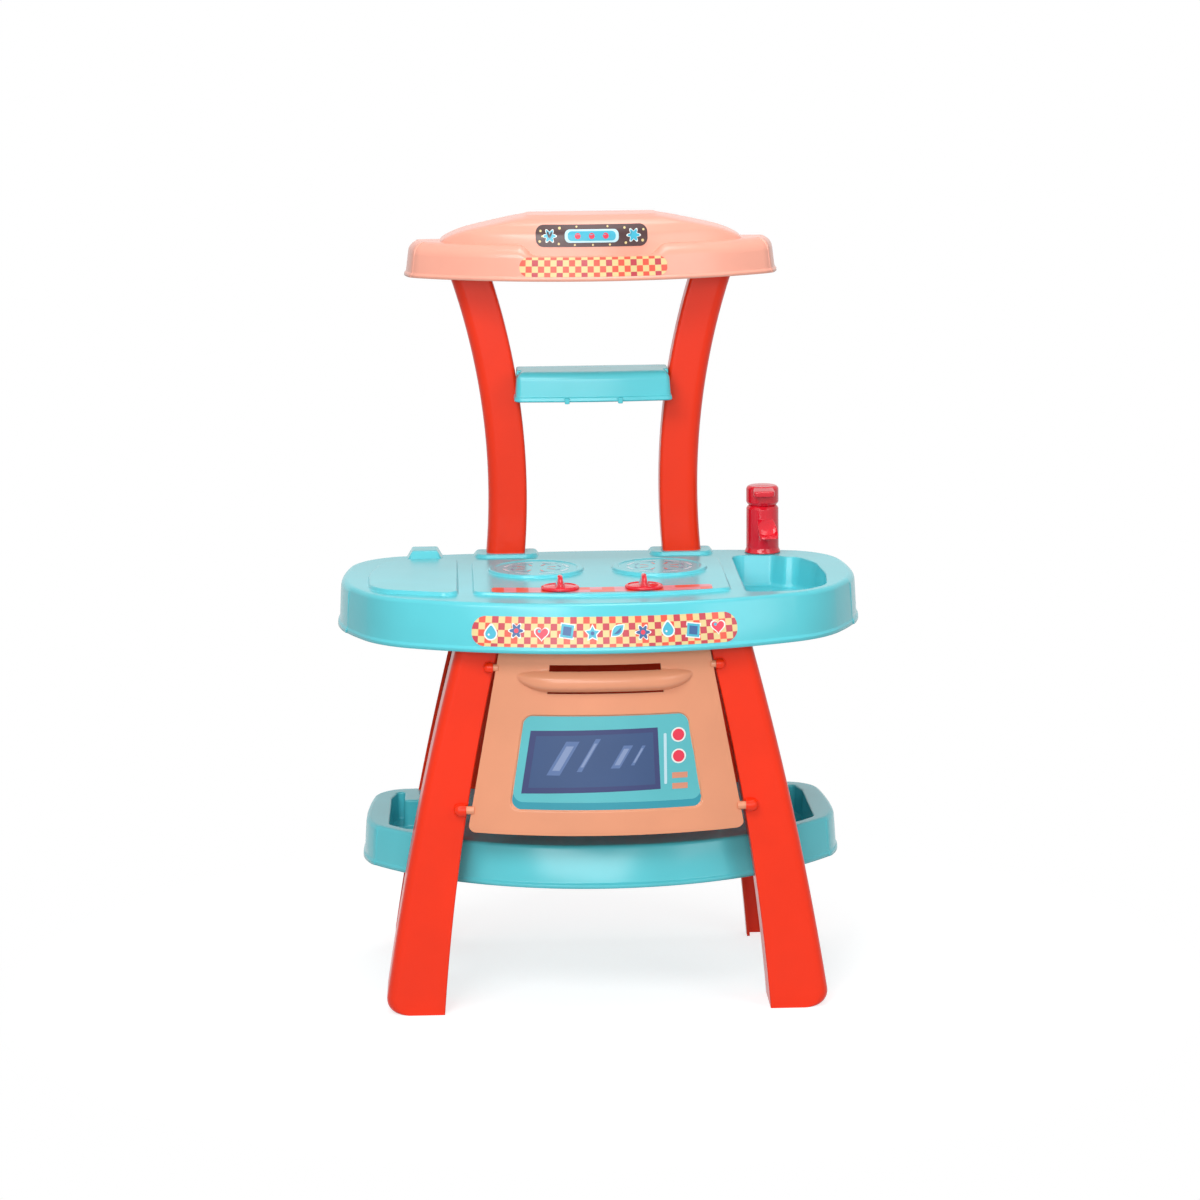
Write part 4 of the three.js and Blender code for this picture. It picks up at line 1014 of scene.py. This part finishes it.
def drop(u, v, r):
    out = []
    for k in range(28):
        a = 2 * math.pi * k / 28
        q = r * (1 + 0.45 * max(math.sin(a), 0) ** 3)
        out.append((u + q * math.cos(a) * (1 - 0.5 * max(math.sin(a), 0) ** 2), v + q * math.sin(a)))
    return out


class Film:
    """Thin printed film on a surface: place(u, v, lift) gives a point in mm."""

    def __init__(self, name, place, body):
        self.name = name
        self.place = place
        self.body = body
        self.parts = {}

    def add(self, material, poly, lift, tile=None, tile_v=None, window=None):
        """Adds a polygon at a lift, clipped to a window and cut into tiles where the surface bends."""
        polys = [clip(poly, window) if window else poly]
        if tile and polys[0]:
            whole_poly = polys.pop()
            u0, u1 = min(q[0] for q in whole_poly), max(q[0] for q in whole_poly)
            v0, v1 = min(q[1] for q in whole_poly), max(q[1] for q in whole_poly)
            us = spread(u0, u1, max(1, math.ceil((u1 - u0) / tile)) + 1)
            vs = spread(v0, v1, (max(1, math.ceil((v1 - v0) / tile_v)) if tile_v else 1) + 1)
            for ua, ub in zip(us, us[1:]):
                for va, vb in zip(vs, vs[1:]):
                    polys.append(clip(whole_poly, rect(ua, ub, va, vb)))
        skin = self.parts.setdefault(material.name, (material, Skin()))[1]
        for p in polys:
            clean = []
            for q in p:
                if not clean or math.dist(q, clean[-1]) > 1e-4:
                    clean.append(q)
            if len(clean) > 2 and math.dist(clean[0], clean[-1]) < 1e-4:
                clean.pop()
            if len(clean) > 2:
                ids = skin.ring([self.place(u, v, lift) for u, v in clean])
                skin.faces.append(tuple(ids))

    def done(self, facing):
        for material, skin in self.parts.values():
            obj = build(f"{self.name}_{material.name}", skin, material, self.body)
            bm = bmesh.new()
            bm.from_mesh(obj.data)
            for f in bm.faces:
                if f.normal.dot(Vector(facing)) < 0:
                    f.normal_flip()
            bm.to_mesh(obj.data)
            bm.free()


def checks(film, window, u0, u1, v0, v1, cell, shift=0):
    """Check pattern of cream with coral and rose."""
    columns = math.ceil((u1 - u0) / cell)
    rows = math.ceil((v1 - v0) / cell)
    for i in range(columns):
        for j in range(rows):
            square = rect(u0 + i * cell, u0 + (i + 1) * cell, v0 + j * cell, v0 + (j + 1) * cell)
            if (i + j + shift) % 2 == 0:
                material = print_cream
            else:
                material = print_coral if (i // 2 + j) % 2 == 0 or i % 4 == 1 else print_rose
            film.add(material, square, 0.16, window=window)


def square(u, v, h):
    c, s = math.cos(rad(-8)), math.sin(rad(-8))
    return [(u + a * c - b * s, v + a * s + b * c) for a, b in rect(-h, h, -h, h)]


def icon(film, kind, u, v):
    """Small plain motif: a pale edge, a body and a mark, each a little higher than the last."""
    layers = {
        "heart": [heart(u, v, 7.6), print_red, heart(u, v, 6.2), print_sky, circle(u - 2.4, v + 2, 1.5, 16)],
        "star": [star(u, v, 8.6, 0.55), print_sky, star(u, v, 6.8, 0.5), print_navy, circle(u, v, 1.9, 16)],
        "leaf": [leaf(u, v, 9.2), print_sky, leaf(u, v, 7.6), print_navy, leaf(u, v, 5.0)[:13]],
        "flower": [flower(u, v, 8.2), print_navy, flower(u, v, 6.8), print_red, circle(u, v, 2.2, 18)],
        "drop": [
            drop(u, v - 1, 6.6), print_sky, drop(u, v - 1, 5.2), print_white, circle(u - 1.8, v - 2, 1.0, 14),
        ],
        "tile": [square(u, v, 7.2), print_sky, square(u, v, 6.1), print_navy, square(u, v, 4.0)],
    }
    edge, body_ink, body, mark_ink, mark = layers[kind]
    film.add(print_white, edge, 0.24)
    film.add(body_ink, body, 0.32)
    film.add(mark_ink, mark, 0.4)


def skirt_place(section, bow, front):
    """Placing function for a film on a section's bowed front."""
    def place(u, v, lift):
        p, n = section.face(bow, front, u, v)
        return tuple(p + n * lift)
    return place


film = Film("front_label", skirt_place(counter, COUNTER_BOW, COUNTER_FRONT), FRAME_BODY)
checks(film, pill(-129.5, 129.5, 371.8, 400.2, 13), -129.5, 129.5, 371.8 - 3.2, 400.2, 6.35)
order = ["drop", "flower", "heart", "tile", "star", "leaf", "flower", "drop", "tile", "heart"]
for k, kind in enumerate(order):
    icon(film, kind, -111 + k * 24.6, 386 + (1.2 if k % 2 else -1.0))
film.done(FRONT)

film = Film("hood_label", skirt_place(hood_band, HOOD_BOW, HOOD_FRONT), FRAME_BODY)
checks(film, pill(-74.5, 74.5, 707.4, 726.6, 9), -74.5, 74.5, 707.4 - 2, 726.6, 6.2, 1)
film.done(FRONT)


def dome_place(u, v, lift):
    front = dome_at(v - HOOD_RIM)[1]
    slope = dome_at(v - HOOD_RIM + 1)[1] - front
    heading = math.asin(u / HOOD_BOW)
    n = Vector((math.sin(heading), -math.cos(heading), slope)).normalized()
    p = Vector((u, hood_bow(u) + front, v)) + n * (lift + 0.25)
    return tuple(p)


film = Film("badge", dome_place, FRAME_BODY)
film.add(print_brown, pill(-57, 55, 735.5, 757, 8), 0.1, tile=6, tile_v=4)
film.add(print_pale, pill(-28, 26, 739.6, 752.4, 5), 0.22, tile=6, tile_v=4)
film.add(print_sky, pill(-25, 23, 741.4, 750.6, 4), 0.32, tile=6, tile_v=4)
for u in (-15, -1, 13):
    film.add(print_red, circle(u, 746, 2.9, 20), 0.42)
for u in (-43, 41):
    film.add(print_white, flower(u, 746.2, 7.4), 0.22)
    film.add(print_sky, flower(u, 746.2, 6.2), 0.32)
for u, v, r in [
    (-53, 741, 1.3), (-52, 751, 1.2), (-34, 738.6, 1.2), (-33, 753.6, 1.4), (-50.5, 746, 0.9),
    (33, 739, 1.3), (32, 753.4, 1.2), (50, 741, 1.4), (51, 751.4, 1.1), (0, 737.4, 1.0),
    (-16, 754.9, 1.0), (15, 755, 1.0), (-18, 737.5, 1.0), (17, 737.5, 1.1),
]:
    film.add(print_cream, circle(u, v, r, 16), 0.24)
film.done(FRONT)


def door_place(u, v, lift):
    return (u, door_arc(u, v) + 2.0 - lift, v)


def slanted(u_low, u_high, v0, v1, r):
    """Rounded trapezoid: its u range at the foot v0 and at the head v1."""
    return rounded([(u_low[0], v0, r), (u_low[1], v0, r), (u_high[1], v1, r), (u_high[0], v1, r)])


film = Film("oven_label", door_place, DOOR_BODY)
side_band = slanted((-93.4, 94.4), (-78.6, 79.6), 209.6, 300.9, 9)
film.add(print_deep, side_band, 0.12, tile=5, tile_v=12)
oven_face = slanted((-92.2, 93.4), (-78.6, 79.6), 216.8, 300.9, 9)
film.add(print_teal, oven_face, 0.24, tile=5, tile_v=12)
film.add(print_frame, [(-83, 225.2), (52.4, 228.4), (50.2, 288.4), (-72.8, 286.6)], 0.36, tile=5, tile_v=12)
film.add(print_window, [(-76, 231), (47.2, 233.2), (45.6, 284), (-67.6, 281.4)], 0.46, tile=5, tile_v=12)
for u, v, wide, tall in ((-42, 260, 13, 33), (-17, 263, 5, 32), (15, 261, 9, 22), (31, 262, 3.4, 19)):
    for across, along, material, rise in ((1.0, 1.0, print_glare, 0.54), (0.55, 0.72, print_sheen, 0.62)):
        w, h = wide * across / 2, tall * along / 2
        lean = 0.6 * h
        streak = [(u - w - lean, v - h), (u + w - lean, v - h), (u + w + lean, v + h), (u - w + lean, v + h)]
        film.add(material, streak, rise, tile=5, tile_v=12)
film.add(print_pale, pill(56, 58.8, 233, 282.5, 1.2, 4), 0.36)
for v in (280.4, 259.6):
    film.add(print_white, circle(70.5, v, 7.2, 30), 0.36)
    film.add(print_red, circle(70.5, v, 5.7, 30), 0.46)
for v in (241, 230.6):
    film.add(print_ochre, rect(63.8, 79, v - 2.8, v + 2.8), 0.36, tile=5)
film.done(FRONT)


def stove_place(u, v, lift):
    """Flat on the stove panel, bowed like its front edge."""
    return (u, v + u * u / 1600, TOP + STOVE_RISE + lift)


film = Film("stove_label", stove_place, FRAME_BODY)
strip = pill(-108, 108, -99, -73, 5)
for i in range(18):
    for j in range(2):
        cell = rect(-108 + i * 12, -96 + i * 12, -99 + j * 13, -86 + j * 13)
        material = print_coral if (i * 7 + j * 5) % 9 in (0, 1, 2, 5) else print_blush
        film.add(material, cell, 0.1, tile=6, window=strip)
film.done(UP)


def burner_place(u, v, lift):
    return (u, v, TOP + STOVE_RISE + LABEL_SINK + lift)


def arc_band(u, v, r0, r1, a0, a1, steps):
    """Strips of a flat ring between two angles in degrees."""
    cells = []
    for k in range(steps):
        a, b = rad(lerp(a0, a1, k / steps)), rad(lerp(a0, a1, (k + 1) / steps))
        cells.append([
            (u + r * math.cos(g), v + r * math.sin(g)) for r, g in ((r0, a), (r1, a), (r1, b), (r0, b))
        ])
    return cells


# Marks of a burner: material, inner and outer radius, start and end angle, strips.
BURNER_MARKS = (
    (print_pale, 30.5, 33.5, 4, 33, 6), (print_navy, 24.2, 25.6, 8, 28, 4), (print_coral, 12, 21, 16, 22, 1),
)
film = Film("burner_label", burner_place, FRAME_BODY)
for u in (-BURNER_X, BURNER_X):
    for k in range(8):
        for material, r0, r1, a0, a1, strips in BURNER_MARKS:
            for cell in arc_band(u, BURNER_Y, r0, r1, k * 45 + a0, k * 45 + a1, strips):
                film.add(material, cell, 0.1)
film.done(UP)

# ---------- stage, light and camera
bpy.ops.mesh.primitive_plane_add(size=14, location=(0, 2.5, 0))
floor = bpy.context.object
floor.name = "floor"
m = bpy.data.materials.new("floor")
m.use_nodes = True
nt = m.node_tree
nt.nodes.remove(nt.nodes["Principled BSDF"])


def math_node(tree, operation, first, second):
    made = tree.nodes.new("ShaderNodeMath")
    made.operation = operation
    tree.links.new(first, made.inputs[0])
    tree.links.new(second, made.inputs[1])
    return made.outputs[0]


def blend(tree, factor, first, second):
    made = tree.nodes.new("ShaderNodeMixShader")
    tree.links.new(factor, made.inputs["Fac"])
    tree.links.new(first.outputs[0], made.inputs[1])
    tree.links.new(second.outputs[0], made.inputs[2])
    return made


# Pale floor: it keeps the shadow, is lifted for camera and glossy rays only, and fades to plain white.
diffuse = add_node(nt, "ShaderNodeBsdfDiffuse", {"Color": (0.5, 0.51, 0.515, 1)})
lift = add_node(nt, "ShaderNodeEmission", {"Color": (1, 1, 1, 1), "Strength": 0.72})
nothing = add_node(nt, "ShaderNodeEmission", {"Strength": 0})
rays = add_node(nt, "ShaderNodeLightPath").outputs
seen = math_node(nt, "MAXIMUM", rays["Is Camera Ray"], rays["Is Glossy Ray"])
choose = blend(nt, seen, nothing, lift)
add = nt.nodes.new("ShaderNodeAddShader")
nt.links.new(diffuse.outputs[0], add.inputs[0])
nt.links.new(choose.outputs[0], add.inputs[1])
spot = nt.nodes.new("ShaderNodeTexCoord")
far = nt.nodes.new("ShaderNodeVectorMath")
far.operation = "DISTANCE"
far.inputs[1].default_value = (0, -2.5, 0)
nt.links.new(spot.outputs["Object"], far.inputs[0])
fade = add_node(nt, "ShaderNodeMapRange", {"From Min": 0.3, "From Max": 0.62}, Value=far.outputs["Value"])
fade.interpolation_type = "SMOOTHSTEP"
plain = add_node(nt, "ShaderNodeEmission", {"Strength": 1.0})
faded = blend(nt, math_node(nt, "MULTIPLY", seen, fade.outputs["Result"]), add, plain)
nt.links.new(faded.outputs[0], nt.nodes["Material Output"].inputs["Surface"])
floor.data.materials.append(m)

world = bpy.data.worlds.new("studio")
bpy.context.scene.world = world
world.use_nodes = True
wt = world.node_tree
ambient = wt.nodes["Background"]
ambient.inputs["Color"].default_value = (1, 1, 1, 1)
ambient.inputs["Strength"].default_value = 0.25
white = add_node(wt, "ShaderNodeBackground", {"Color": (1, 1, 1, 1), "Strength": 1.0})
rays = add_node(wt, "ShaderNodeLightPath").outputs
through = math_node(wt, "MAXIMUM", rays["Is Glossy Ray"], rays["Is Transmission Ray"])
seen = math_node(wt, "MAXIMUM", rays["Is Camera Ray"], through)
choose = blend(wt, seen, ambient, white)
wt.links.new(choose.outputs[0], wt.nodes["World Output"].inputs["Surface"])


def area(name, place, target, size, power):
    light = bpy.data.lights.new(name, "AREA")
    light.shape = "RECTANGLE"
    light.size, light.size_y = size
    light.energy = power
    obj = bpy.data.objects.new(name, light)
    obj.location = place
    obj.rotation_euler = (Vector(target) - Vector(place)).to_track_quat("-Z", "Y").to_euler()
    bpy.context.scene.collection.objects.link(obj)


area("front_light", (-0.4, -3.2, 1.2), (0, 0, 0.4), (2.0, 1.2), 38)
area("key_light", (-0.9, -2.0, 2.2), (0, 0, 0.42), (1.3, 0.9), 28)
area("fill_light", (1.7, -1.9, 1.5), (0, 0, 0.4), (1.1, 1.4), 12)
area("top_light", (0.1, -0.1, 2.6), (0, 0, 0.4), (1.4, 1.1), 21)

camera_data = bpy.data.cameras.new("camera")
camera_data.lens = 117.1
camera_data.sensor_width = 36
camera = bpy.data.objects.new("camera", camera_data)
bpy.context.scene.collection.objects.link(camera)
forward = Vector((0.03686, 0.98247, -0.18277)).normalized()
right = forward.cross(Vector((0, 0, 1))).normalized()
up = right.cross(forward)
roll = 0.0104
right_rolled = right * math.cos(roll) - up * math.sin(roll)
up_rolled = right * math.sin(roll) + up * math.cos(roll)
aim = Matrix((right_rolled, up_rolled, -forward)).transposed()
camera.matrix_world = Matrix.Translation((-0.1429, -3.8328, 1.1016)) @ aim.to_4x4()
bpy.context.scene.camera = camera
bpy.context.scene.view_settings.view_transform = "Standard"
